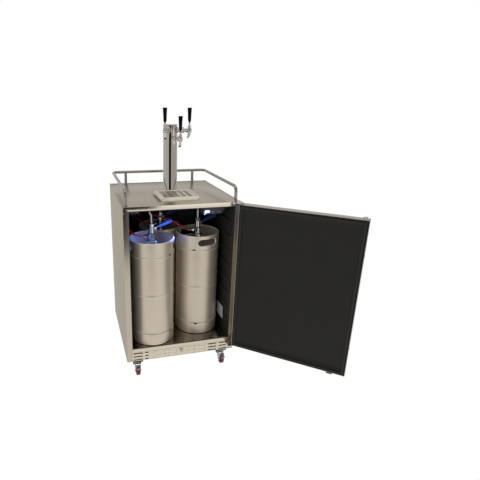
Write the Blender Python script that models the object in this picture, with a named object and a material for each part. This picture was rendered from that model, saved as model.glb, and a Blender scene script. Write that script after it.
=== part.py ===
"""Stainless kegerator on casters with a three-faucet tower, a guard rail and three kegs.

Metres, +Z up. The cabinet's front looks along -Y. The door stands open at rest.
"""
import math

import bmesh
import bpy
from mathutils import Matrix, Vector

# Joins
GAP = 0.0003
OVERRUN = 0.004
EMBED = 0.0008
SHEET = 0.0015

# Cabinet
CABINET_BOTTOM = 0.098
FLANGE = 0.029
LIP = 0.021
TOE_HEIGHT = 0.075
DECK_BEAD_WIDTH = 0.008
DECK_BEAD_HEIGHT = 0.0014

# Liner and insulation
LINER_WALL = 0.0025
HUMP_DEPTH = 0.0692
BACK_FOAM = 0.059
HUMP_HEIGHT = 0.300
RIB_DEPTH = 0.0065
RIB_HEIGHT = 0.012
RIB_START = 0.095
RIB_TOP_MARGIN = 0.092
RIB_FRONT = 0.030
RIB_COUNT = 8
FOAM_BOTTOM = 0.052
FOAM_HUMP_WALL = 0.0235
MACHINE_ROOM_HEIGHT = 0.262
FLOOR_PLATE = 0.0012
FLOOR_PLATE_MARGIN = 0.003

# Toe kick
SLOT_HEIGHT = 0.0062
SLOT_BRIDGE = 0.013
SLOT_MIDDLE_MARGIN = 0.0252
SLOT_ROW_PITCH = 0.019
SLOT_LOWEST = 0.0076
SLOT_SIDE_MARGIN = 0.005
SLOT_COLUMNS = 4
SLOT_ROWS = 3
TOE_LEDGE = 0.012
LOCK_RADIUS = 0.011
LOCK_HEAD = 0.004
LOCK_BARREL_RADIUS = 0.008
LOCK_BARREL_LENGTH = 0.018
LOCK_HEIGHT = 0.032
KEY_SLOT_LENGTH = 0.011
KEY_SLOT_WIDTH = 0.0022
KEY_SLOT_DEPTH = 0.002

# Base frame
BASE_DROP = 0.012
BASE_INSET = 0.022
BASE_SHEET = 0.002
BASE_LEDGE_RISE = 0.002
PAD_SIZE = 0.056
PAD_THICKNESS = 0.006

# Casters
CASTER_INSET_X = 0.059
CASTER_INSET_Y = 0.044
WHEEL_RADIUS = 0.026
WHEEL_WIDTH = 0.022
WHEEL_BORE = 0.0043
AXLE_RADIUS = 0.004
AXLE_HEAD_RADIUS = 0.0065
AXLE_HEAD = 0.003
CASTER_TRAIL = 0.024
FORK_LEG = 0.0025
FORK_SIDE_GAP = 0.0006
FORK_CROWN = 0.003
FORK_CROWN_RISE = 0.0085
SWIVEL_RADIUS = 0.019
SWIVEL_NECK = 0.012
FORK_BOSS_RADIUS = 0.011
PEDAL_BARREL = 0.003
PEDAL_BARREL_FORWARD = 0.008
PEDAL_REACH = 0.030
PEDAL_SHEET = 0.002
PEDAL_WIDTH = 0.019
PEDAL_DROP = 0.004
PEDAL_LIP = 0.005

# Guard rail
RAIL_RADIUS = 0.008
RAIL_HEIGHT = 0.072
RAIL_INSET = 0.0195
RAIL_BACK_INSET = 0.027
RAIL_FRONT_POST = 0.026
RAIL_FRONT_BEND = 0.030
RAIL_BACK_BEND = 0.032
RAIL_BACK_POST_INSET = 0.0935
RAIL_FOOT_RADIUS = 0.011
RAIL_FOOT_HEIGHT = 0.004

# Tower and faucets
TOWER_X = 0.0095
TOWER_TRAY_CLEARANCE = 0.015
TOWER_RADIUS = 0.0375
TOWER_HEIGHT = 0.352
TOWER_BASE_RADIUS = 0.0405
TOWER_BASE_HEIGHT = 0.006
TOWER_CAP_HEIGHT = 0.004
TOWER_CAP_RIM = 0.0008
TOWER_CAP_PLUG = 0.012
LINE_HOLE_RADIUS = 0.028
FAUCET_DROP_SIDE = 0.024
FAUCET_DROP_FRONT = 0.064
FAUCET_TURN = math.radians(-73)
FAUCET_SPREAD = math.radians(45)
FAUCET_REACH = 0.104
SHANK_RADIUS = 0.0105
SHANK_HOLE_CLEARANCE = 0.0005
SHANK_FLANGE_RADIUS = 0.0155
SHANK_FLANGE = 0.004
SHANK_NUT_RADIUS = 0.0150
SHANK_NUT_START = 0.060
SHANK_NUT_LENGTH = 0.014
SHANK_TAIL_RADIUS = 0.005
SHANK_TAIL_START = 0.010
NIPPLE_OFFSET = 0.0145
NIPPLE_RADIUS = 0.0042
NIPPLE_LENGTH = 0.016
FAUCET_BODY_RADIUS = 0.0125
FAUCET_BODY_START = 0.080
FAUCET_COLLAR_RADIUS = 0.0115
FAUCET_COLLAR_BOTTOM = 0.013
SPOUT_RADIUS = 0.0062
SPOUT_BORE = 0.0040
SPOUT_DROP = 0.043
SPOUT_BACK = 0.006
SPOUT_BORE_DEPTH = 0.014
LEVER_BALL = 0.0055
LEVER_PIVOT = 0.0305
LEVER_STEM = 0.0034
LEVER_FERRULE = 0.0056
LEVER_FERRULE_BOTTOM = 0.0385
LEVER_TOP = 0.0465
HANDLE_LENGTH = 0.067
HANDLE_BOTTOM_RADIUS = 0.0085
HANDLE_TOP_RADIUS = 0.0112
HANDLE_ROUNDING = 0.002

# Drip tray
TRAY_WIDTH = 0.205
TRAY_DEPTH = 0.186
TRAY_HEIGHT = 0.0165
TRAY_FRONT = 0.0885
TRAY_X = 0.0038
TRAY_RIM = 0.009
TRAY_FLARE = 0.009
TRAY_WALL = 0.0015
TRAY_LEDGE = 0.0045
TRAY_LEDGE_DROP = 0.004
GRILLE_SHEET = 0.0015
GRILLE_CLEARANCE = 0.0006
GRILLE_COLUMNS = 5
GRILLE_ROWS = 9
GRILLE_BORDER = 0.012
GRILLE_SLOT_SHARE = 0.62
GRILLE_BAR_SHARE = 0.80

# Kegs, round which the cabinet's width, depth and height are built
KEG_RADIUS = 0.1178
KEG_HEIGHT = 0.577
KEG_HEADROOM = 0.1686
KEG_LEFT_CLEARANCE = 0.0041
KEG_RIGHT_CLEARANCE = 0.0136
KEG_MIDDLE_CLEARANCE = 0.0315
KEG_LEFT_SETBACK = 0.002
KEG_RIGHT_SETBACK = 0.0625
KEG_REAR_SHIFT = 0.0437
KEG_REAR_CLEARANCE = 0.0008
KEG_BACK_CLEARANCE = 0.0095
KEG_BODY_STEP = 0.0018
KEG_TOP_SKIRT = 0.078
KEG_BOTTOM_SKIRT = 0.070
KEG_SKIRT_WALL = 0.003
KEG_RIM_RADIUS = 0.0032
KEG_DOME_DROP = 0.062
KEG_DOME_RISE = 0.020
KEG_FOOT_RECESS = 0.040
KEG_NECK_RADIUS = 0.027
KEG_NECK_BORE = 0.021
KEG_WALL = 0.002
KEG_NECK_TOP_DROP = 0.030
KEG_HOLE_WIDTH = 0.108
KEG_HOLE_HEIGHT = 0.037
KEG_HOLE_DROP = 0.036
KEG_HOLE_REACH = 0.030
KEG_LEFT_TURN = math.radians(80)
KEG_RIGHT_TURN = math.radians(12)
KEG_REAR_TURN = 0

# Couplers
COUPLER_SKIRT_RADIUS = 0.029
COUPLER_SKIRT = 0.014
COUPLER_BODY_RADIUS = 0.019
COUPLER_BODY_TOP = 0.050
COUPLER_NECK_RADIUS = 0.0145
COUPLER_NECK_TOP = 0.088
COUPLER_NUT_RADIUS = 0.0155
COUPLER_NUT_TOP = 0.103
COUPLER_TAIL_RADIUS = 0.0058
COUPLER_HEIGHT = 0.125
GAS_PORT_HEIGHT = 0.036
GAS_PORT_REACH = 0.045
GAS_NUT_RADIUS = 0.0105
GAS_NUT_START = 0.024
GAS_NUT_LENGTH = 0.011
GAS_TAIL_RADIUS = 0.0052
HANDLE_PIVOT_HEIGHT = 0.075
HANDLE_BARREL_RADIUS = 0.005
HANDLE_BARREL_LENGTH = 0.015
HANDLE_STEM_RADIUS = 0.005
HANDLE_STEM_LENGTH = 0.020
HANDLE_GRIP_LENGTH = 0.074
HANDLE_GRIP_START_RADIUS = 0.0065
HANDLE_GRIP_END_RADIUS = 0.0125
HANDLE_GRIP_LIP = 0.0150
HANDLE_GRIP_LIP_LENGTH = 0.004
HANDLE_RISE = math.radians(18)
HANDLE_TURN_LEFT = math.radians(15)
HANDLE_TURN_RIGHT = math.radians(16)
HANDLE_TURN_REAR = math.radians(20)
LINE_RADIUS = 0.0047

# Gas manifold
MANIFOLD_SIDE_CLEARANCE = 0.0217
MANIFOLD_WIDTH = 0.110
MANIFOLD_DEPTH = 0.022
MANIFOLD_HEIGHT = 0.022
MANIFOLD_DROP = 0.148
MANIFOLD_PORT_PITCH = 0.034
MANIFOLD_PORT_RADIUS = 0.0055
MANIFOLD_PORT_LENGTH = 0.014

# Lamp
LAMP_SIDE_CLEARANCE = 0.0172
LAMP_WIDTH = 0.130
LAMP_FRONT = 0.060
LAMP_DEPTH = 0.070
LAMP_HEIGHT = 0.047
LAMP_SLOPE = 0.030
LENS_WIDTH = 0.028
LENS_HEIGHT = 0.014
LENS_THICKNESS = 0.0015
LENS_MARGIN = 0.008

# Evaporator cover
EVAPORATOR_SIDE_CLEARANCE = 0.0617
EVAPORATOR_MANIFOLD_GAP = 0.050
EVAPORATOR_HEIGHT = 0.200
EVAPORATOR_DEPTH = 0.030
EVAPORATOR_TOP_DROP = 0.030
EVAPORATOR_SLOTS = 5
EVAPORATOR_SLOT_HEIGHT = 0.007
EVAPORATOR_SLOT_PITCH = 0.018
EVAPORATOR_SLOT_SHARE = 0.30

# Machine compartment
COMPRESSOR_RADIUS = 0.046
COMPRESSOR_FOOT_RADIUS = 0.027
COMPRESSOR_FOOT = 0.020
COMPRESSOR_HEIGHT = 0.145
COMPRESSOR_SIDE_CLEARANCE = 0.1425
COMPRESSOR_BACK_CLEARANCE = 0.010
REAR_WINDOW_MARGIN = 0.0985
REAR_WINDOW_BOTTOM = 0.030
REAR_WINDOW_TOP = 0.240
REAR_GRILLE_BORDER = 0.014
REAR_GRILLE_SHEET = 0.002
REAR_SLOT_ROWS = 7
REAR_SLOT_HEIGHT = 0.008
REAR_SLOT_PITCH = 0.024
REAR_SLOT_SHARE = 0.42
INLET_WIDTH = 0.030
INLET_HEIGHT = 0.024
INLET_DEPTH = 0.012
INLET_SIDE_CLEARANCE = 0.1335
INLET_Z = 0.275
INLET_RECESS = 0.008
INLET_WALL = 0.003

# Door
DOOR_THICKNESS = 0.045
DOOR_STANDOFF = 0.0083
DOOR_SIDE_GAP = 0.001
DOOR_TOP_GAP = 0.003
DOOR_BOTTOM = 0.047
DOOR_OPEN = math.radians(138.2)
DOOR_SHEET = 0.0015
HINGE_INSET = 0.0071
HINGE_FORWARD = 0.030
PIN_RADIUS = 0.003
PIN_LENGTH = 0.012
PIN_CLEARANCE = 0.0004
GASKET_INSET = 0.009
GASKET_WIDTH = 0.013
GASKET_AIR = 0.0006
DOOR_PANEL_INSET = 0.034
DOOR_PANEL_RECESS = 0.0035
BRACKET_LENGTH = 0.042
BRACKET_SHEET = 0.003
BRACKET_REACH = 0.045
BRACKET_LEG = 0.010
BRACKET_BACK = 0.0125
BOTTOM_BRACKET_LEG = 0.026
BRACKET_WASHER = 0.0085
BAR_INSET = 0.011
BAR_RADIUS = 0.0075
BAR_STANDOFF = 0.040
BAR_OVERHANG = 0.006
POST_RADIUS = 0.012
POST_TOP_SHARE = 0.775
POST_BOTTOM_SHARE = 0.165
STAPLE_FROM_EDGE = 0.021
STAPLE_WIDTH = 0.020
STAPLE_HEIGHT = 0.009
STAPLE_WIRE = 0.004
STAPLE_BACK = 0.030
CATCH_FROM_EDGE = 0.074
CATCH_WIDTH = 0.028
CATCH_DROP = 0.009
CATCH_DEPTH = 0.012

# Worked out from the sizes above
KEG_SPACE = 2 * KEG_RADIUS + (KEG_LEFT_CLEARANCE + KEG_RIGHT_CLEARANCE + KEG_MIDDLE_CLEARANCE) / 2
INNER_HALF = KEG_SPACE + RIB_DEPTH
LINER_HALF = INNER_HALF + LINER_WALL
HALF = LINER_HALF + GAP + FLANGE
WIDTH = 2 * HALF
KEG_LEFT_X = KEG_LEFT_CLEARANCE + KEG_RADIUS - KEG_SPACE
KEG_LEFT_Y = KEG_LEFT_SETBACK + KEG_RADIUS
KEG_RIGHT_X = KEG_SPACE - KEG_RIGHT_CLEARANCE - KEG_RADIUS
KEG_RIGHT_Y = KEG_RIGHT_SETBACK + KEG_RADIUS
KEG_REAR_X = (KEG_LEFT_X + KEG_RIGHT_X) / 2 - KEG_REAR_SHIFT
KEG_REAR_REACH = 2 * KEG_RADIUS + KEG_REAR_CLEARANCE
KEG_REAR_Y = KEG_LEFT_Y + math.sqrt(KEG_REAR_REACH ** 2 - (KEG_REAR_X - KEG_LEFT_X) ** 2)
HUMP_FRONT = KEG_REAR_Y + KEG_RADIUS + KEG_BACK_CLEARANCE
LINER_BACK = HUMP_FRONT + HUMP_DEPTH
DEPTH = LINER_BACK + BACK_FOAM
LINER_BOTTOM = CABINET_BOTTOM + TOE_HEIGHT + GAP
LINER_FLOOR = LINER_BOTTOM + LINER_WALL
KEG_BOTTOM = LINER_FLOOR + GAP + FLOOR_PLATE + GAP
KEG_TOP = KEG_BOTTOM + KEG_HEIGHT
CEILING = KEG_TOP + KEG_HEADROOM
LINER_TOP = CEILING + LINER_WALL
TOP = LINER_TOP + GAP + LIP
RIB_PITCH = (CEILING - LINER_FLOOR - RIB_START - RIB_TOP_MARGIN) / (RIB_COUNT - 1)
TOE_HALF = HALF - FLANGE - GAP
SLOT_RUN = TOE_HALF - SLOT_SIDE_MARGIN - SLOT_MIDDLE_MARGIN
SLOT_LENGTH = (SLOT_RUN - (SLOT_COLUMNS - 1) * SLOT_BRIDGE) / SLOT_COLUMNS
RAIL_BACK_POST_X = HALF - RAIL_BACK_POST_INSET
TOWER_Y = TRAY_FRONT + TRAY_DEPTH + TOWER_TRAY_CLEARANCE + TOWER_BASE_RADIUS
MANIFOLD_X = MANIFOLD_SIDE_CLEARANCE + MANIFOLD_WIDTH / 2 - INNER_HALF
MANIFOLD_Z = CEILING - MANIFOLD_DROP
LAMP_X = INNER_HALF - LAMP_SIDE_CLEARANCE - LAMP_WIDTH
EVAPORATOR_LOW_X = MANIFOLD_X + MANIFOLD_WIDTH / 2 + EVAPORATOR_MANIFOLD_GAP
EVAPORATOR_HIGH_X = INNER_HALF - EVAPORATOR_SIDE_CLEARANCE
EVAPORATOR_WIDTH = EVAPORATOR_HIGH_X - EVAPORATOR_LOW_X
EVAPORATOR_X = (EVAPORATOR_LOW_X + EVAPORATOR_HIGH_X) / 2
COMPRESSOR_X = COMPRESSOR_SIDE_CLEARANCE + COMPRESSOR_RADIUS - HALF
COMPRESSOR_Y = DEPTH - COMPRESSOR_BACK_CLEARANCE - COMPRESSOR_RADIUS
REAR_WINDOW_WIDTH = WIDTH - 2 * REAR_WINDOW_MARGIN
INLET_X = HALF - INLET_SIDE_CLEARANCE
COUPLER_BOTTOM = KEG_TOP - KEG_NECK_TOP_DROP + GAP
COUPLER_TOP = COUPLER_BOTTOM + COUPLER_HEIGHT
HINGE_X = HALF - HINGE_INSET
HINGE_Y = -HINGE_FORWARD
DOOR_IN = -DOOR_STANDOFF
DOOR_OUT = -DOOR_STANDOFF - DOOR_THICKNESS
DOOR_HALF = HALF - DOOR_SIDE_GAP
DOOR_LOW = CABINET_BOTTOM + DOOR_BOTTOM
DOOR_HIGH = TOP - DOOR_TOP_GAP
BASE_UNDERSIDE = CABINET_BOTTOM - BASE_DROP
FAUCET_COLLAR_TOP = LEVER_PIVOT - LEVER_BALL - GAP
PAD_UNDERSIDE = BASE_UNDERSIDE - PAD_THICKNESS
FORK_CROWN_TOP = 2 * WHEEL_RADIUS + FORK_CROWN_RISE
FORK_WIDTH = WHEEL_WIDTH + 2 * (FORK_SIDE_GAP + FORK_LEG)

SIDES = 28
KEG_SIDES = 24
TOWER_SIDES = 32
WHEEL_SIDES = 20
SMALL_SIDES = 12
FAUCET_SIDES = 16
LINE_RING_COUNT = 2

KEGS = (
    ("left", KEG_LEFT_X, KEG_LEFT_Y, KEG_LEFT_TURN, HANDLE_TURN_LEFT),
    ("right", KEG_RIGHT_X, KEG_RIGHT_Y, KEG_RIGHT_TURN, HANDLE_TURN_RIGHT),
    ("rear", KEG_REAR_X, KEG_REAR_Y, KEG_REAR_TURN, HANDLE_TURN_REAR),
)
FAUCETS = (
    ("left", FAUCET_TURN - FAUCET_SPREAD, TOWER_HEIGHT - FAUCET_DROP_SIDE),
    ("front", FAUCET_TURN, TOWER_HEIGHT - FAUCET_DROP_FRONT),
    ("right", FAUCET_TURN + FAUCET_SPREAD, TOWER_HEIGHT - FAUCET_DROP_SIDE),
)

# Hoses run by these shares of the way, each point moved aside and dropped below the ceiling
BEER_LINES = (("left", "front"), ("right", "right"), ("rear", "left"))
BEER_LINE_SHARES = (
    (0.00, 0.00, 0.15, 0.44, 0.82, 0.98),
    (0.01, 0.08, 0.32, 0.72, 0.98),
    (0.03, 0.16, 0.51, 0.82),
)
BEER_LINE_OFFSETS = (
    ((-0.0002, -0.0008, 0.0552), (-0.0077, 0.0032, 0.0352), (-0.0145, 0.0107, 0.0172),
     (-0.0106, 0.0088, 0.0152), (-0.0014, 0.0012, 0.0182), (0.0015, -0.0012, 0.0062)),
    ((0.0003, 0.0003, 0.0552), (0.0027, 0.0013, 0.0352), (0.0033, 0.0020, 0.0202),
     (0.0039, 0.0018, 0.0182), (0.0001, -0.0008, 0.0062)),
    ((-0.0006, -0.0008, 0.0592), (0.0003, -0.0001, 0.0412), (0.0004, 0.0014, 0.0232),
     (0.0005, 0.0010, 0.0092)),
)
GAS_LINES = (("left", -1), ("rear", 0), ("right", 1))
GAS_LINE_SHARES = (
    (0.00, 0.02, 0.08, 0.20, 0.49, 0.75, 0.91),
    (0.04, 0.14, 0.34, 0.62, 0.85),
    (0.02, 0.10, 0.22, 0.34, 0.49, 0.66, 0.84, 0.95),
)
GAS_LINE_OFFSETS = (
    ((-0.0124, -0.0003, 0.1612), (-0.0406, -0.0043, 0.1522), (-0.0572, -0.0079, 0.1372),
     (-0.0583, -0.0050, 0.1252), (-0.0456, -0.0041, 0.1272), (-0.0301, -0.0019, 0.1372),
     (-0.0096, -0.0021, 0.1452)),
    ((-0.0104, -0.0073, 0.1612), (-0.0298, -0.0175, 0.1532), (-0.0375, -0.0220, 0.1432),
     (-0.0266, -0.0161, 0.1432), (-0.0134, -0.0073, 0.1472)),
    ((-0.0097, -0.0056, 0.1592), (-0.0195, -0.0139, 0.1432), (-0.0308, -0.0237, 0.1232),
     (-0.0521, -0.0376, 0.1052), (-0.0711, -0.0549, 0.0912), (-0.0634, -0.0486, 0.0912),
     (-0.0323, -0.0254, 0.1182), (-0.0115, -0.0101, 0.1432)),
)


def turned_xy(x, y, angle):
    return x * math.cos(angle) - y * math.sin(angle), x * math.sin(angle) + y * math.cos(angle)


def door_point(x, y):
    """Where a point of the closed door lies with the door open at rest."""
    dx, dy = turned_xy(x - HINGE_X, y - HINGE_Y, DOOR_OPEN)
    return HINGE_X + dx, HINGE_Y + dy


def origin_shift():
    """Moves the middle of the whole outline, door open, over the origin."""
    edge = door_point(-DOOR_HALF, DOOR_IN)
    post_y = DOOR_OUT - BAR_STANDOFF - BAR_RADIUS
    bar = door_point(-DOOR_HALF + BAR_INSET, post_y)
    back = DEPTH + GAP + INLET_DEPTH
    return -(bar[0] - HALF) / 2, -(edge[1] + back) / 2


SHIFT_X, SHIFT_Y = origin_shift()


def clear_scene():
    for item in list(bpy.data.objects):
        bpy.data.objects.remove(item, do_unlink=True)


def material(name, colour, roughness, metallic):
    made = bpy.data.materials.new(name)
    made.use_nodes = True
    shader = made.node_tree.nodes["Principled BSDF"]
    shader.inputs["Base Color"].default_value = (*colour, 1)
    shader.inputs["Roughness"].default_value = roughness
    shader.inputs["Metallic"].default_value = metallic
    return made


def box(x, y, z):
    """A block between two values on each axis."""
    mesh = bmesh.new()
    bmesh.ops.create_cube(mesh, size=1)
    for vert in mesh.verts:
        vert.co = (x[vert.co.x > 0], y[vert.co.y > 0], z[vert.co.z > 0])
    return mesh


AXIS_FRAMES = {
    "x": Matrix(((0, 0, 1, 0), (1, 0, 0, 0), (0, 1, 0, 0), (0, 0, 0, 1))),
    "y": Matrix(((1, 0, 0, 0), (0, 0, -1, 0), (0, 1, 0, 0), (0, 0, 0, 1))),
    "z": Matrix.Identity(4),
}


def extruded(outline, axis, start, end):
    """A prism: the outline is (y, z) for axis x, (x, z) for axis y and (x, y) for axis z."""
    mesh = bmesh.new()
    flip = -1 if axis == "y" else 1
    verts = [mesh.verts.new((a, b, flip * start)) for a, b in outline]
    face = mesh.faces.new(verts)
    grown = bmesh.ops.extrude_face_region(mesh, geom=[face])
    for item in grown["geom"]:
        if isinstance(item, bmesh.types.BMVert):
            item.co.z = flip * end
    bmesh.ops.transform(mesh, matrix=AXIS_FRAMES[axis], verts=mesh.verts)
    bmesh.ops.recalc_face_normals(mesh, faces=mesh.faces)
    return mesh


def turned(profile, sides=SIDES, axis="z", centre=(0, 0, 0)):
    """A solid of revolution from (radius, height) points; a bored one closes on itself."""
    mesh = bmesh.new()
    points = [mesh.verts.new((r, 0, h)) for r, h in profile]
    edges = [mesh.edges.new(pair) for pair in zip(points, points[1:])]
    if profile[0][0] > 0:
        edges.append(mesh.edges.new((points[-1], points[0])))
    bmesh.ops.spin(mesh, geom=points + edges, cent=(0, 0, 0), axis=(0, 0, 1), steps=sides,
                   angle=2 * math.pi, use_merge=True)
    bmesh.ops.remove_doubles(mesh, verts=mesh.verts, dist=EMBED / 100)
    turn = {"z": Matrix.Identity(4), "x": Matrix.Rotation(math.pi / 2, 4, "Y"),
            "y": Matrix.Rotation(-math.pi / 2, 4, "X")}[axis]
    bmesh.ops.transform(mesh, matrix=Matrix.Translation(centre) @ turn, verts=mesh.verts)
    bmesh.ops.recalc_face_normals(mesh, faces=mesh.faces)
    return mesh


def moved(mesh, matrix):
    bmesh.ops.transform(mesh, matrix=matrix, verts=mesh.verts)
    return mesh


def together(meshes):
    """Separate shapes in one mesh, for one cut or one union."""
    whole = bmesh.new()
    for piece in meshes:
        scratch = bpy.data.meshes.new("scratch")
        piece.to_mesh(scratch)
        piece.free()
        whole.from_mesh(scratch)
        bpy.data.meshes.remove(scratch)
    return whole


def mesh_object(name, mesh):
    data = bpy.data.meshes.new(name)
    mesh.to_mesh(data)
    mesh.free()
    item = bpy.data.objects.new(name, data)
    bpy.context.scene.collection.objects.link(item)
    return item


def worked(base, *steps):
    """The mesh of a base shape after its unions and cuts, each an operation and a shape."""
    item = mesh_object("blank", base)
    tools = []
    for operation, shape in steps:
        tool = mesh_object("tool", shape)
        tools.append(tool)
        change = item.modifiers.new(operation, "BOOLEAN")
        change.operation = operation
        change.solver = "EXACT"
        change.object = tool
    bpy.context.view_layer.update()
    graph = bpy.context.evaluated_depsgraph_get()
    data = bpy.data.meshes.new_from_object(item.evaluated_get(graph))
    for extra in [item, *tools]:
        bpy.data.objects.remove(extra, do_unlink=True)
    clean = bmesh.new()
    clean.from_mesh(data)
    bmesh.ops.dissolve_limit(clean, angle_limit=math.radians(0.2), verts=clean.verts, edges=clean.edges)
    clean.to_mesh(data)
    clean.free()
    return data


def node(name, data, look, at=(0, 0, 0), parent=None, turn=(0, 0, 0), smooth=True):
    """A named piece; without a parent its place is given in the cabinet's own frame."""
    if isinstance(data, bmesh.types.BMesh):
        mesh = bpy.data.meshes.new(name)
        data.to_mesh(mesh)
        data.free()
        data = mesh
    item = bpy.data.objects.new(name, data)
    bpy.context.scene.collection.objects.link(item)
    item.parent = parent
    shift = Vector((0, 0, 0)) if parent else Vector((SHIFT_X, SHIFT_Y, 0))
    item.location = Vector(at) + shift
    item.rotation_euler = turn
    if not data.materials:
        data.materials.append(look)
    if smooth:
        data.shade_smooth()
        data.set_sharp_from_angle(angle=math.radians(35))
    return item


def pivot(name, at, turn=(0, 0, 0), parent=None):
    """An empty on a joint's axis."""
    empty = bpy.data.objects.new(name, None)
    bpy.context.scene.collection.objects.link(empty)
    empty.parent = parent
    shift = Vector((0, 0, 0)) if parent else Vector((SHIFT_X, SHIFT_Y, 0))
    empty.location = Vector(at) + shift
    empty.rotation_euler = turn
    return empty


def spline_curve(name, points, radius, level):
    curve = bpy.data.curves.new(name, "CURVE")
    curve.dimensions = "3D"
    curve.bevel_depth = radius
    curve.bevel_resolution = level
    curve.use_fill_caps = True
    spline = curve.splines.new("POLY")
    spline.points.add(len(points) - 1)
    for slot, point in zip(spline.points, points):
        slot.co = (*point, 1)
    return curve


def tube(points, radius, level):
    """A filled tube along points, as a shape for a union."""
    item = bpy.data.objects.new("tube", spline_curve("tube", points, radius, level))
    bpy.context.scene.collection.objects.link(item)
    bpy.context.view_layer.update()
    data = bpy.data.meshes.new_from_object(item.evaluated_get(bpy.context.evaluated_depsgraph_get()))
    bpy.data.objects.remove(item, do_unlink=True)
    mesh = bmesh.new()
    mesh.from_mesh(data)
    bmesh.ops.remove_doubles(mesh, verts=mesh.verts, dist=radius / 1000)
    bmesh.ops.recalc_face_normals(mesh, faces=mesh.faces)
    return mesh


def rounded_path(corners, radii, steps=5):
    """A path through corners with arcs of the given radii at the inner ones."""
    path = [Vector(corners[0])]
    for before, corner, after, radius in zip(corners, corners[1:], corners[2:], radii):
        corner = Vector(corner)
        into = (corner - Vector(before)).normalized()
        out = (Vector(after) - corner).normalized()
        bend = into.angle(out)
        reach = radius * math.tan(bend / 2)
        centre = corner + (out - into).normalized() * radius / math.cos(bend / 2)
        first = corner - into * reach - centre
        axis = into.cross(out).normalized()
        for step in range(steps + 1):
            path.append(centre + Matrix.Rotation(bend * step / steps, 3, axis) @ first)
    path.append(Vector(corners[-1]))
    return path


def smooth_path(points, per_span=2):
    """A Catmull-Rom curve through the points, with its first and last spans straight."""
    route = [Vector(point) for point in points]
    path = [route[0]]
    for a, b, c, d in zip(route, route[1:], route[2:], route[3:]):
        for step in range(per_span):
            t = step / per_span
            path.append((b * 2 + (c - a) * t + (a * 2 - b * 5 + c * 4 - d) * t ** 2
                         + (b * 3 - a - c * 3 + d) * t ** 3) / 2)
    return [*path, route[-2], route[-1]]


def mirrored_pair(low, high):
    return ((-high, -low), (low, high))


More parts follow.
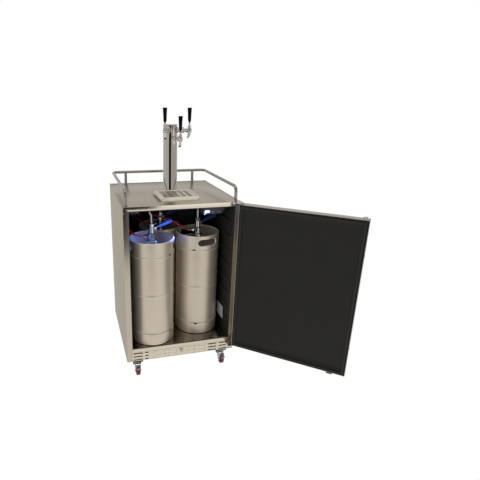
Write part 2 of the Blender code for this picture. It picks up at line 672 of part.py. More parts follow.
def cabinet(looks):
    steel, black = looks["steel"], looks["liner"]
    inner = HALF - SHEET
    outline = [(-HALF, 0), (-HALF + FLANGE, 0), (-HALF + FLANGE, SHEET), (-inner, SHEET),
               (-inner, DEPTH - SHEET), (inner, DEPTH - SHEET), (inner, SHEET), (HALF - FLANGE, SHEET),
               (HALF - FLANGE, 0), (HALF, 0), (HALF, DEPTH), (-HALF, DEPTH)]
    shell_top = TOP - SHEET - GAP
    mitre = [(-HALF - OVERRUN, TOP), (-HALF, TOP - GAP), (-HALF + FLANGE, TOP - LIP - GAP),
             (HALF - FLANGE, TOP - LIP - GAP), (HALF, TOP - GAP), (HALF + OVERRUN, TOP)]
    window = box((-REAR_WINDOW_WIDTH / 2, REAR_WINDOW_WIDTH / 2),
                 (DEPTH - SHEET - OVERRUN, DEPTH + OVERRUN),
                 (CABINET_BOTTOM + REAR_WINDOW_BOTTOM, CABINET_BOTTOM + REAR_WINDOW_TOP))
    shell = worked(extruded(outline, "z", CABINET_BOTTOM, shell_top),
                   ("DIFFERENCE", extruded(mitre, "y", -OVERRUN, SHEET + GAP)),
                   ("DIFFERENCE", window))
    node("cabinet_wrapper", shell, steel)

    lip = [(-HALF, TOP), (-HALF + FLANGE, TOP - LIP), (HALF - FLANGE, TOP - LIP), (HALF, TOP)]
    bead_low, bead_high = TOP - EMBED, TOP + DECK_BEAD_HEIGHT
    beads = [box(span, (SHEET, DEPTH), (bead_low, bead_high))
             for span in mirrored_pair(HALF - DECK_BEAD_WIDTH, HALF)]
    back_bead = box((-HALF + EMBED, HALF - EMBED), (DEPTH - DECK_BEAD_WIDTH, DEPTH), (bead_low, bead_high))
    tower_hole = turned([(0, -SHEET - OVERRUN), (LINE_HOLE_RADIUS, -SHEET - OVERRUN),
                         (LINE_HOLE_RADIUS, OVERRUN), (0, OVERRUN)], centre=(TOWER_X, TOWER_Y, TOP))
    deck = worked(box((-HALF, HALF), (0, DEPTH), (TOP - SHEET, TOP)),
                  ("UNION", extruded(lip, "y", 0, SHEET)),
                  ("UNION", together(beads)),
                  ("UNION", back_bead),
                  ("DIFFERENCE", tower_hole))
    node("top_deck", deck, steel)

    hump_top = CABINET_BOTTOM + HUMP_HEIGHT
    tub = [(0, LINER_BOTTOM), (HUMP_FRONT + LINER_WALL, LINER_BOTTOM), (HUMP_FRONT + LINER_WALL, hump_top),
           (LINER_BACK, hump_top), (LINER_BACK, LINER_TOP), (0, LINER_TOP)]
    hollow = [(-OVERRUN, LINER_FLOOR), (HUMP_FRONT, LINER_FLOOR), (HUMP_FRONT, hump_top + LINER_WALL),
              (LINER_BACK - LINER_WALL, hump_top + LINER_WALL), (LINER_BACK - LINER_WALL, CEILING),
              (-OVERRUN, CEILING)]
    ribs = []
    for index in range(RIB_COUNT):
        low = LINER_FLOOR + RIB_START + index * RIB_PITCH - RIB_HEIGHT / 2
        back = HUMP_FRONT if low < hump_top + LINER_WALL else LINER_BACK - LINER_WALL
        for side in (-1, 1):
            wall = side * (INNER_HALF + EMBED)
            tip = side * (INNER_HALF - RIB_DEPTH)
            rib = [(wall, low - RIB_DEPTH / 2), (tip, low), (tip, low + RIB_HEIGHT),
                   (wall, low + RIB_HEIGHT + RIB_DEPTH / 2)]
            ribs.append(extruded(rib, "y", RIB_FRONT, back - RIB_FRONT))
    line_hole = turned([(0, -LIP), (LINE_HOLE_RADIUS, -LIP), (LINE_HOLE_RADIUS, LIP), (0, LIP)],
                       centre=(TOWER_X, TOWER_Y, CEILING))
    liner = worked(extruded(tub, "x", -LINER_HALF, LINER_HALF),
                   ("DIFFERENCE", extruded(hollow, "x", -INNER_HALF, INNER_HALF)),
                   ("UNION", together(ribs)),
                   ("DIFFERENCE", line_hole))
    node("inner_liner", liner, black)

    foam_half = HALF - SHEET - GAP
    foam_front = SHEET + GAP
    foam_back = DEPTH - SHEET - GAP
    foam_low = CABINET_BOTTOM + FOAM_BOTTOM
    foam_top = TOP - SHEET - GAP
    room_top = CABINET_BOTTOM + MACHINE_ROOM_HEIGHT
    room_front = HUMP_FRONT + LINER_WALL + FOAM_HUMP_WALL
    behind_toe = TOE_LEDGE + GAP
    block = [(behind_toe, foam_low), (room_front, foam_low), (room_front, room_top), (foam_back, room_top),
             (foam_back, foam_top), (foam_front, foam_top), (foam_front, LINER_BOTTOM),
             (behind_toe, LINER_BOTTOM)]
    pocket = [(-OVERRUN, LINER_BOTTOM - GAP), (HUMP_FRONT + LINER_WALL + GAP, LINER_BOTTOM - GAP),
              (HUMP_FRONT + LINER_WALL + GAP, hump_top - GAP), (LINER_BACK + GAP, hump_top - GAP),
              (LINER_BACK + GAP, LINER_TOP + GAP), (-OVERRUN, LINER_TOP + GAP)]
    foam_hole = turned([(0, -LIP), (LINE_HOLE_RADIUS, -LIP), (LINE_HOLE_RADIUS, LIP), (0, LIP)],
                       centre=(TOWER_X, TOWER_Y, LINER_TOP))
    foam = worked(extruded(block, "x", -foam_half, foam_half),
                  ("DIFFERENCE", extruded(pocket, "x", -LINER_HALF - GAP, LINER_HALF + GAP)),
                  ("DIFFERENCE", foam_hole))
    node("insulation", foam, looks["foam"])

    plate_half = INNER_HALF - FLOOR_PLATE_MARGIN
    node("floor_plate", box((-plate_half, plate_half), (FLOOR_PLATE_MARGIN, HUMP_FRONT - FLOOR_PLATE_MARGIN),
                            (LINER_FLOOR + GAP, LINER_FLOOR + GAP + FLOOR_PLATE)), looks["polished"])


def toe_kick(looks):
    high = CABINET_BOTTOM + TOE_HEIGHT
    outline = [(0, CABINET_BOTTOM), (SHEET, CABINET_BOTTOM), (SHEET, high - SHEET),
               (TOE_LEDGE, high - SHEET), (TOE_LEDGE, high), (0, high)]
    slots = []
    for row in range(SLOT_ROWS):
        z = CABINET_BOTTOM + SLOT_LOWEST + row * SLOT_ROW_PITCH
        for column in range(SLOT_COLUMNS):
            low = SLOT_MIDDLE_MARGIN + column * (SLOT_LENGTH + SLOT_BRIDGE)
            for span in mirrored_pair(low, low + SLOT_LENGTH):
                slots.append(box(span, (-OVERRUN, SHEET + OVERRUN),
                                 (z - SLOT_HEIGHT / 2, z + SLOT_HEIGHT / 2)))
    hole = LOCK_BARREL_RADIUS + GAP
    barrel_hole = turned([(0, -OVERRUN), (hole, -OVERRUN), (hole, SHEET + OVERRUN), (0, SHEET + OVERRUN)],
                         SMALL_SIDES, "y", (0, 0, CABINET_BOTTOM + LOCK_HEIGHT))
    panel = worked(extruded(outline, "x", -TOE_HALF, TOE_HALF),
                   ("DIFFERENCE", together(slots + [barrel_hole])))
    node("toe_kick", panel, looks["steel"])

    head = [(0, -LOCK_HEAD), (LOCK_RADIUS - GAP, -LOCK_HEAD), (LOCK_RADIUS, -LOCK_HEAD + GAP),
            (LOCK_RADIUS, -GAP), (LOCK_BARREL_RADIUS, -GAP), (LOCK_BARREL_RADIUS, LOCK_BARREL_LENGTH),
            (0, LOCK_BARREL_LENGTH)]
    key_slot = box((-KEY_SLOT_WIDTH / 2, KEY_SLOT_WIDTH / 2),
                   (-LOCK_HEAD - OVERRUN, -LOCK_HEAD + KEY_SLOT_DEPTH),
                   (-KEY_SLOT_LENGTH / 2, KEY_SLOT_LENGTH / 2))
    lock = worked(turned(head, SMALL_SIDES, "y"), ("DIFFERENCE", key_slot))
    node("toe_lock", lock, looks["chrome"], at=(0, 0, CABINET_BOTTOM + LOCK_HEIGHT))


def base_frame(looks):
    half, front, back = HALF - SHEET - GAP, SHEET + GAP, DEPTH - SHEET - GAP
    ledge = (CABINET_BOTTOM + BASE_LEDGE_RISE, CABINET_BOTTOM + BASE_LEDGE_RISE + BASE_SHEET)
    pan_half = HALF - BASE_INSET
    pan = box((-pan_half, pan_half), (BASE_INSET, DEPTH - BASE_INSET), (BASE_UNDERSIDE, ledge[1]))
    inner_half = pan_half - BASE_SHEET
    pocket = box((-inner_half, inner_half), (BASE_INSET + BASE_SHEET, DEPTH - BASE_INSET - BASE_SHEET),
                 (BASE_UNDERSIDE + BASE_SHEET, ledge[1] + OVERRUN))
    pads = [box((x - PAD_SIZE / 2, x + PAD_SIZE / 2), (y - PAD_SIZE / 2, y + PAD_SIZE / 2),
                (PAD_UNDERSIDE, BASE_UNDERSIDE + EMBED)) for x, y in caster_places().values()]
    frame = worked(box((-half, half), (front, back), ledge), ("UNION", pan), ("DIFFERENCE", pocket),
                   ("UNION", together(pads)))
    node("base_frame", frame, looks["dark_steel"])


def caster_places():
    x, near, far = HALF - CASTER_INSET_X, CASTER_INSET_Y, DEPTH - CASTER_INSET_Y
    return {"front_left": (-x, near), "front_right": (x, near), "rear_left": (-x, far),
            "rear_right": (x, far)}


def fork_mesh():
    axle_y, axle_z = -CASTER_TRAIL, WHEEL_RADIUS
    crown = FORK_CROWN_TOP
    barrel_y = axle_y - PEDAL_BARREL_FORWARD
    back = SWIVEL_RADIUS + FORK_LEG
    side = [(back, crown), (back, crown - 2 * FORK_CROWN),
            (axle_y + FORK_BOSS_RADIUS, axle_z - FORK_BOSS_RADIUS / 2), (axle_y, axle_z - FORK_BOSS_RADIUS),
            (axle_y - FORK_BOSS_RADIUS, axle_z - FORK_BOSS_RADIUS / 2),
            (barrel_y - 2 * PEDAL_BARREL, crown - 3 * FORK_CROWN), (barrel_y - 2 * PEDAL_BARREL, crown)]
    inner = FORK_WIDTH / 2 - FORK_LEG
    slot = box((-inner, inner), (barrel_y - 4 * PEDAL_BARREL, back + OVERRUN),
               (-OVERRUN, crown - FORK_CROWN))
    notch = box((-inner, inner), (barrel_y - 4 * PEDAL_BARREL, barrel_y + 2 * PEDAL_BARREL),
                (crown - 2 * FORK_CROWN, crown + OVERRUN))
    head_top = PAD_UNDERSIDE - GAP
    head = turned([(0, crown - EMBED), (SWIVEL_RADIUS, crown - EMBED), (SWIVEL_RADIUS, crown + FORK_CROWN),
                   (SWIVEL_NECK, crown + 2 * FORK_CROWN), (SWIVEL_NECK, head_top), (0, head_top)],
                   SMALL_SIDES)
    reach = FORK_WIDTH / 2 + AXLE_HEAD
    axle = turned([(0, -reach), (AXLE_HEAD_RADIUS, -reach), (AXLE_HEAD_RADIUS, -reach + AXLE_HEAD + EMBED),
                   (AXLE_RADIUS, -reach + AXLE_HEAD + EMBED), (AXLE_RADIUS, reach - AXLE_HEAD - EMBED),
                   (AXLE_HEAD_RADIUS, reach - AXLE_HEAD - EMBED), (AXLE_HEAD_RADIUS, reach), (0, reach)],
                  SMALL_SIDES, "x", (0, axle_y, axle_z))
    return worked(extruded(side, "x", -FORK_WIDTH / 2, FORK_WIDTH / 2),
                  ("DIFFERENCE", slot), ("DIFFERENCE", notch), ("UNION", head), ("UNION", axle))


def casters(looks):
    fork = fork_mesh()
    half = WHEEL_WIDTH / 2
    hub = WHEEL_RADIUS * 0.55
    profile = [(WHEEL_BORE, -half), (hub * 0.7, -half), (hub, -half + 2 * EMBED),
               (WHEEL_RADIUS * 0.8, -half + EMBED), (WHEEL_RADIUS - 2 * EMBED, -half + EMBED),
               (WHEEL_RADIUS, -half + 4 * EMBED), (WHEEL_RADIUS, half - 4 * EMBED),
               (WHEEL_RADIUS - 2 * EMBED, half - EMBED), (WHEEL_RADIUS * 0.8, half - EMBED),
               (hub, half - 2 * EMBED), (hub * 0.7, half), (WHEEL_BORE, half)]
    wheel = bpy.data.meshes.new("caster_wheel")
    turned(profile, WHEEL_SIDES, "x").to_mesh(wheel)
    pedal = pedal_mesh()
    barrel_z = FORK_CROWN_TOP - 2 * PEDAL_BARREL
    for name, (x, y) in caster_places().items():
        swivel = pivot("swivel_" + name, (x, y, 0))
        node("caster_fork_" + name, fork, looks["zinc"], parent=swivel)
        node("caster_wheel_" + name, wheel, looks["red"], (0, -CASTER_TRAIL, WHEEL_RADIUS), swivel)
        if name.startswith("front"):
            node("brake_pedal_" + name, pedal, looks["zinc"],
                 (0, -CASTER_TRAIL - PEDAL_BARREL_FORWARD, barrel_z), swivel)


def pedal_mesh():
    half = FORK_WIDTH / 2 - FORK_LEG - GAP
    barrel = turned([(0, -half), (PEDAL_BARREL, -half), (PEDAL_BARREL, half), (0, half)], SMALL_SIDES, "x")
    top = PEDAL_BARREL
    tab = [(0, top), (0, top - PEDAL_SHEET), (-PEDAL_REACH + PEDAL_LIP, top - PEDAL_SHEET),
           (-PEDAL_REACH, top - PEDAL_SHEET - PEDAL_DROP), (-PEDAL_REACH - PEDAL_SHEET, top - PEDAL_DROP),
           (-PEDAL_REACH + PEDAL_LIP - EMBED, top)]
    return worked(barrel, ("UNION", extruded(tab, "x", -PEDAL_WIDTH / 2, PEDAL_WIDTH / 2)))


def guard_rail(looks):
    side = HALF - RAIL_INSET
    back = DEPTH - RAIL_BACK_INSET
    low, high = TOP + GAP, TOP + RAIL_HEIGHT
    corners = [(-side, RAIL_FRONT_POST, low), (-side, RAIL_FRONT_POST, high), (-side, back, high),
               (side, back, high), (side, RAIL_FRONT_POST, high), (side, RAIL_FRONT_POST, low)]
    path = rounded_path(corners, (RAIL_FRONT_BEND, RAIL_BACK_BEND, RAIL_BACK_BEND, RAIL_FRONT_BEND))
    posts = [turned([(0, low), (RAIL_RADIUS, low), (RAIL_RADIUS, high), (0, high)], 12, "z", (x, back, 0))
             for x in (-RAIL_BACK_POST_X, RAIL_BACK_POST_X)]
    foot = [(0, low), (RAIL_FOOT_RADIUS, low), (RAIL_FOOT_RADIUS, low + RAIL_FOOT_HEIGHT / 2),
            (RAIL_RADIUS + EMBED, low + RAIL_FOOT_HEIGHT), (0, low + RAIL_FOOT_HEIGHT)]
    feet = [turned(foot, SMALL_SIDES, "z", (x, y, 0)) for x, y in
            ((-side, RAIL_FRONT_POST), (side, RAIL_FRONT_POST), (-RAIL_BACK_POST_X, back),
             (RAIL_BACK_POST_X, back))]
    rail = worked(tube(path, RAIL_RADIUS, LINE_RING_COUNT), ("UNION", together(posts)),
                  ("UNION", together(feet)))
    node("guard_rail", rail, looks["chrome"])


def tower(looks):
    low, high = GAP, TOWER_HEIGHT
    inner = TOWER_RADIUS - SHEET
    column = [(inner, low), (TOWER_BASE_RADIUS, low), (TOWER_BASE_RADIUS, low + TOWER_BASE_HEIGHT / 2),
              (TOWER_RADIUS, low + TOWER_BASE_HEIGHT), (TOWER_RADIUS, high), (inner, high)]
    hole = SHANK_RADIUS + SHANK_HOLE_CLEARANCE
    holes = []
    for name, turn, height in FAUCETS:
        drill = turned([(0, inner - OVERRUN), (hole, inner - OVERRUN), (hole, TOWER_RADIUS + OVERRUN),
                        (0, TOWER_RADIUS + OVERRUN)], SMALL_SIDES, "x", (0, 0, height))
        holes.append(moved(drill, Matrix.Rotation(turn, 4, "Z")))
    node("tower_column", worked(turned(column, TOWER_SIDES), ("DIFFERENCE", together(holes))),
         looks["chrome"], at=(TOWER_X, TOWER_Y, TOP))
    plug = inner - GAP
    rim = TOWER_RADIUS + TOWER_CAP_RIM
    cap_top = high + GAP + TOWER_CAP_HEIGHT
    cap = [(0, high - TOWER_CAP_PLUG), (plug, high - TOWER_CAP_PLUG), (plug, high + GAP), (rim, high + GAP),
           (rim, cap_top - TOWER_CAP_RIM), (TOWER_RADIUS - TOWER_CAP_RIM, cap_top), (0, cap_top)]
    node("tower_cap", turned(cap, TOWER_SIDES), looks["chrome"], at=(TOWER_X, TOWER_Y, TOP))


def faucet_mesh():
    flange = TOWER_RADIUS + GAP
    nut_end = SHANK_NUT_START + SHANK_NUT_LENGTH
    body_end = FAUCET_REACH + FAUCET_BODY_RADIUS
    body_start = FAUCET_REACH - FAUCET_BODY_RADIUS
    profile = [(0, SHANK_TAIL_START), (SHANK_TAIL_RADIUS, SHANK_TAIL_START),
               (SHANK_TAIL_RADIUS, TOWER_RADIUS - 3 * SHANK_FLANGE),
               (SHANK_RADIUS, TOWER_RADIUS - 2 * SHANK_FLANGE), (SHANK_RADIUS, flange),
               (SHANK_FLANGE_RADIUS, flange), (SHANK_FLANGE_RADIUS, flange + SHANK_FLANGE),
               (SHANK_RADIUS, flange + SHANK_FLANGE), (SHANK_RADIUS, SHANK_NUT_START),
               (SHANK_NUT_RADIUS, SHANK_NUT_START), (SHANK_NUT_RADIUS, nut_end),
               (SHANK_TAIL_RADIUS * 2, nut_end), (SHANK_TAIL_RADIUS * 2, FAUCET_BODY_START),
               (FAUCET_BODY_RADIUS, body_start), (FAUCET_BODY_RADIUS, FAUCET_REACH),
               (FAUCET_BODY_RADIUS * 0.7, body_end - FAUCET_BODY_RADIUS * 0.3), (0, body_end)]
    collar = turned([(0, -FAUCET_COLLAR_BOTTOM), (FAUCET_COLLAR_RADIUS * 0.8, -FAUCET_COLLAR_BOTTOM),
                     (FAUCET_COLLAR_RADIUS, 0), (FAUCET_COLLAR_RADIUS, FAUCET_COLLAR_TOP * 0.7),
                     (FAUCET_COLLAR_RADIUS * 0.8, FAUCET_COLLAR_TOP), (0, FAUCET_COLLAR_TOP)],
                    SMALL_SIDES, "z", (FAUCET_REACH, 0, 0))
    nipple = turned([(0, -NIPPLE_LENGTH), (NIPPLE_RADIUS, -NIPPLE_LENGTH), (NIPPLE_RADIUS, 0), (0, 0)],
                    12, "z", (NIPPLE_OFFSET, 0, 0))
    tip = Vector((FAUCET_REACH - SPOUT_BACK, 0, -SPOUT_DROP))
    elbow = Vector((FAUCET_REACH, 0, -FAUCET_COLLAR_BOTTOM))
    spout_path = [Vector((FAUCET_REACH, 0, 0)), elbow, tip.lerp(elbow, 0.5), tip]
    bore_start = tip.lerp(spout_path[2], SPOUT_BORE_DEPTH / (tip - spout_path[2]).length)
    bore_end = tip + (tip - spout_path[2]).normalized() * OVERRUN
    return worked(turned(profile, FAUCET_SIDES, "x"), ("UNION", collar), ("UNION", nipple),
                  ("UNION", tube(spout_path, SPOUT_RADIUS, LINE_RING_COUNT)),
                  ("DIFFERENCE", tube([bore_start, bore_end], SPOUT_BORE, LINE_RING_COUNT)))


def faucets(looks):
    body = faucet_mesh()
    rise = LEVER_TOP - LEVER_PIVOT
    ball = [(LEVER_BALL * math.sin(math.pi * step / 8), -LEVER_BALL * math.cos(math.pi * step / 8))
            for step in range(6)]
    ferrule = LEVER_FERRULE_BOTTOM - LEVER_PIVOT
    profile = ball + [(LEVER_STEM, LEVER_BALL), (LEVER_STEM, ferrule), (LEVER_FERRULE, ferrule),
                      (LEVER_FERRULE, rise), (0, rise)]
    lever = bpy.data.meshes.new("lever")
    turned(profile, SMALL_SIDES).to_mesh(lever)
    start, end = rise + GAP, rise + GAP + HANDLE_LENGTH
    grip_profile = [(0, start), (HANDLE_BOTTOM_RADIUS - HANDLE_ROUNDING, start),
                    (HANDLE_BOTTOM_RADIUS, start + HANDLE_ROUNDING),
                    (HANDLE_TOP_RADIUS, end - HANDLE_ROUNDING),
                    (HANDLE_TOP_RADIUS - HANDLE_ROUNDING, end), (0, end)]
    grip = bpy.data.meshes.new("grip")
    turned(grip_profile, SMALL_SIDES).to_mesh(grip)
    for name, turn, height in FAUCETS:
        node("faucet_" + name, body, looks["chrome"], at=(TOWER_X, TOWER_Y, TOP + height), turn=(0, 0, turn))
        out = Vector(turned_xy(FAUCET_REACH, 0, turn) + (LEVER_PIVOT,))
        ball_joint = pivot("tap_pivot_" + name, Vector((TOWER_X, TOWER_Y, TOP + height)) + out, (0, 0, turn))
        node("tap_lever_" + name, lever, looks["chrome"], parent=ball_joint)
        node("tap_handle_" + name, grip, looks["grip"], parent=ball_joint)


def drip_tray(looks):
    half, half_depth = TRAY_WIDTH / 2, TRAY_DEPTH / 2
    place = (TRAY_X, TRAY_FRONT + half_depth, TOP + GAP)
    opening, opening_depth = half - TRAY_RIM, half_depth - TRAY_RIM
    ledge, ledge_depth = opening - TRAY_LEDGE, opening_depth - TRAY_LEDGE
    ledge_top = TRAY_HEIGHT - TRAY_LEDGE_DROP
    well = box((-ledge, ledge), (-ledge_depth, ledge_depth), (TRAY_WALL, TRAY_HEIGHT + OVERRUN))
    mouth = box((-opening, opening), (-opening_depth, opening_depth), (ledge_top, TRAY_HEIGHT + OVERRUN))
    side = [(-half, TRAY_HEIGHT), (-half, TRAY_HEIGHT - TRAY_LEDGE_DROP / 2), (-half + TRAY_FLARE, 0),
            (half - TRAY_FLARE, 0), (half, TRAY_HEIGHT - TRAY_LEDGE_DROP / 2), (half, TRAY_HEIGHT)]
    pan = worked(extruded(side, "y", -half_depth, half_depth), ("DIFFERENCE", well), ("DIFFERENCE", mouth))
    tray = node("drip_tray", pan, looks["polished"], at=place)

    grille_half, grille_depth = opening - GRILLE_CLEARANCE, opening_depth - GRILLE_CLEARANCE
    pitch_x = (grille_half - GRILLE_BORDER) * 2 / GRILLE_COLUMNS
    pitch_y = (grille_depth - GRILLE_BORDER) * 2 / GRILLE_ROWS
    slots = []
    for column in range(GRILLE_COLUMNS):
        x = (column - (GRILLE_COLUMNS - 1) / 2) * pitch_x
        for row in range(GRILLE_ROWS):
            y = (row - (GRILLE_ROWS - 1) / 2) * pitch_y
            wide, deep = pitch_x * GRILLE_BAR_SHARE / 2, pitch_y * GRILLE_SLOT_SHARE / 2
            slots.append(box((x - wide, x + wide), (y - deep, y + deep), (-OVERRUN, GRILLE_SHEET + OVERRUN)))
    plate = worked(box((-grille_half, grille_half), (-grille_depth, grille_depth), (0, GRILLE_SHEET)),
                   ("DIFFERENCE", together(slots)))
    node("drip_grille", plate, looks["polished"], (0, 0, ledge_top + GAP), tray)


def keg_mesh():
    top = KEG_HEIGHT
    radius, body = KEG_RADIUS, KEG_RADIUS - KEG_BODY_STEP
    inner = radius - KEG_SKIRT_WALL
    rim = KEG_RIM_RADIUS
    middle = (KEG_BOTTOM_SKIRT + top - KEG_TOP_SKIRT) / 2
    neck_top = top - KEG_NECK_TOP_DROP
    dome = top - KEG_DOME_DROP
    profile = [(0, KEG_FOOT_RECESS), (inner * 0.8, KEG_FOOT_RECESS * 0.8), (inner - rim, rim),
               (inner, 0), (radius - rim, 0), (radius, rim),
               (radius, KEG_BOTTOM_SKIRT), (body, KEG_BOTTOM_SKIRT + KEG_BODY_STEP),
               (body, middle - 2 * rim), (body + KEG_BODY_STEP, middle - rim / 2),
               (body + KEG_BODY_STEP, middle + rim / 2), (body, middle + 2 * rim),
               (body, top - KEG_TOP_SKIRT - KEG_BODY_STEP), (radius, top - KEG_TOP_SKIRT),
               (radius, top - rim), (radius - rim / 2, top), (inner - rim, top), (inner - rim, top - rim),
               (inner, top - 2 * rim), (inner, dome - KEG_DOME_RISE),
               (inner * 0.75, dome - KEG_DOME_RISE * 0.3),
               (KEG_NECK_RADIUS * 1.4, dome), (KEG_NECK_RADIUS, dome + EMBED), (KEG_NECK_RADIUS, neck_top),
               (KEG_NECK_BORE, neck_top), (KEG_NECK_BORE, dome - KEG_WALL),
               (inner * 0.75, dome - KEG_DOME_RISE * 0.3 - 2 * KEG_WALL),
               (body - KEG_WALL, dome - KEG_DOME_RISE - 3 * KEG_WALL), (body - KEG_WALL, KEG_BOTTOM_SKIRT),
               (inner * 0.8, KEG_FOOT_RECESS + KEG_WALL), (0, KEG_FOOT_RECESS + KEG_WALL)]
    hole_z = top - KEG_HOLE_DROP
    half, end = KEG_HOLE_WIDTH / 2 - KEG_HOLE_HEIGHT / 2, KEG_HOLE_HEIGHT / 2
    outline = [(side * half + end * math.cos(a), hole_z + end * math.sin(a))
               for side, first in ((1, -90), (-1, 90))
               for a in (math.radians(first + 36 * step) for step in range(6))]
    near, far = KEG_RADIUS - KEG_HOLE_REACH, KEG_RADIUS + KEG_HOLE_REACH
    cut = extruded(outline, "y", near, far)
    cut_back = extruded(outline, "y", -far, -near)
    return worked(turned(profile, KEG_SIDES), ("DIFFERENCE", together([cut, cut_back])))


def coupler_mesh():
    profile = [(0, 0), (COUPLER_SKIRT_RADIUS, 0), (COUPLER_SKIRT_RADIUS, COUPLER_SKIRT),
               (COUPLER_BODY_RADIUS, COUPLER_SKIRT * 1.4), (COUPLER_BODY_RADIUS, COUPLER_BODY_TOP),
               (COUPLER_NECK_RADIUS, COUPLER_BODY_TOP + 2 * EMBED), (COUPLER_NECK_RADIUS, COUPLER_NECK_TOP),
               (COUPLER_NUT_RADIUS, COUPLER_NECK_TOP), (COUPLER_NUT_RADIUS, COUPLER_NUT_TOP),
               (COUPLER_TAIL_RADIUS, COUPLER_NUT_TOP + 2 * EMBED), (COUPLER_TAIL_RADIUS, COUPLER_HEIGHT),
               (0, COUPLER_HEIGHT)]
    nut_end = GAS_NUT_START + GAS_NUT_LENGTH
    port = turned([(0, COUPLER_BODY_RADIUS / 2), (GAS_TAIL_RADIUS * 1.3, COUPLER_BODY_RADIUS / 2),
                   (GAS_TAIL_RADIUS * 1.3, GAS_NUT_START), (GAS_NUT_RADIUS, GAS_NUT_START),
                   (GAS_NUT_RADIUS, nut_end), (GAS_TAIL_RADIUS, nut_end), (GAS_TAIL_RADIUS, GAS_PORT_REACH),
                   (0, GAS_PORT_REACH)], 12, "x", (0, 0, GAS_PORT_HEIGHT))
    port = moved(port, Matrix.Rotation(math.pi, 4, "Z"))
    return worked(turned(profile, FAUCET_SIDES), ("UNION", port))


def coupler_handle_mesh():
    half = HANDLE_BARREL_LENGTH / 2
    barrel = turned([(0, -half), (HANDLE_BARREL_RADIUS, -half), (HANDLE_BARREL_RADIUS, half), (0, half)],
                    12, "y")
    stem_end = HANDLE_STEM_LENGTH
    grip_end = stem_end + HANDLE_GRIP_LENGTH
    grip = turned([(0, 0), (HANDLE_STEM_RADIUS - EMBED, 0), (HANDLE_STEM_RADIUS - EMBED, stem_end),
                   (HANDLE_GRIP_START_RADIUS, stem_end),
                   (HANDLE_GRIP_END_RADIUS, grip_end - HANDLE_GRIP_LIP_LENGTH),
                   (HANDLE_GRIP_LIP, grip_end - HANDLE_GRIP_LIP_LENGTH), (HANDLE_GRIP_LIP, grip_end),
                   (0, grip_end)],
                  SMALL_SIDES, "x")
    return worked(barrel, ("UNION", grip))


def kegs(looks):
    keg, coupler, handle = keg_mesh(), coupler_mesh(), coupler_handle_mesh()
    lever_reach = COUPLER_NECK_RADIUS + GAP + HANDLE_BARREL_RADIUS
    for name, x, y, turn, handle_turn in KEGS:
        node("keg_" + name, keg, looks["keg"], at=(x, y, KEG_BOTTOM), turn=(0, 0, turn))
        node("coupler_" + name, coupler, looks["chrome"], at=(x, y, COUPLER_BOTTOM))
        hinge = Vector(turned_xy(lever_reach, 0, handle_turn) + (HANDLE_PIVOT_HEIGHT,))
        joint = pivot("coupler_pivot_" + name, Vector((x, y, COUPLER_BOTTOM)) + hinge,
                      (0, -HANDLE_RISE, handle_turn))
        node("coupler_handle_" + name, handle, looks["grip"], parent=joint)


def free_points(start, end, shares, offsets):
    """Points along the straight way from start to end, moved aside and hung below the ceiling."""
    return [(start[0] + (end[0] - start[0]) * share + aside, start[1] + (end[1] - start[1]) * share + back,
             CEILING - drop)
            for share, (aside, back, drop) in zip(shares, offsets)]


def lines(looks):
    places = {name: (x, y) for name, x, y, turn, handle_turn in KEGS}
    tower_ends = {name: (turn, height) for name, turn, height in FAUCETS}
    for (keg, tap), shares, offsets in zip(BEER_LINES, BEER_LINE_SHARES, BEER_LINE_OFFSETS):
        x, y = places[keg]
        turn, height = tower_ends[tap]
        dx, dy = turned_xy(NIPPLE_OFFSET, 0, turn)
        end_x, end_y = TOWER_X + dx, TOWER_Y + dy
        bottom, top = COUPLER_TOP + GAP, TOP + height - NIPPLE_LENGTH - GAP
        free = free_points((x, y), (end_x, end_y), shares, offsets)
        route = [(x, y, bottom), (x, y, bottom + LINE_RADIUS), *free, (end_x, end_y, TOP + LIP),
                 (end_x, end_y, top)]
        line_node("beer_line_" + keg, route, looks["beer"])
    port_y = LINER_BACK - LINER_WALL - GAP - MANIFOLD_DEPTH - MANIFOLD_PORT_LENGTH - GAP
    for (keg, port), shares, offsets in zip(GAS_LINES, GAS_LINE_SHARES, GAS_LINE_OFFSETS):
        x, y = places[keg]
        start_x, start_z = x - GAS_PORT_REACH - GAP, COUPLER_BOTTOM + GAS_PORT_HEIGHT
        end_x = MANIFOLD_X + port * MANIFOLD_PORT_PITCH
        free = free_points((start_x, y), (end_x, port_y), shares, offsets)
        route = [(start_x, y, start_z), (start_x - LINE_RADIUS, y, start_z), *free,
                 (end_x, port_y - LINE_RADIUS, MANIFOLD_Z), (end_x, port_y, MANIFOLD_Z)]
        line_node("gas_line_" + keg, route, looks["gas"])


def line_node(name, route, look):
    curve = spline_curve(name, smooth_path(route), LINE_RADIUS, LINE_RING_COUNT)
    curve.materials.append(look)
    item = bpy.data.objects.new(name, curve)
    bpy.context.scene.collection.objects.link(item)
    item.location = (SHIFT_X, SHIFT_Y, 0)


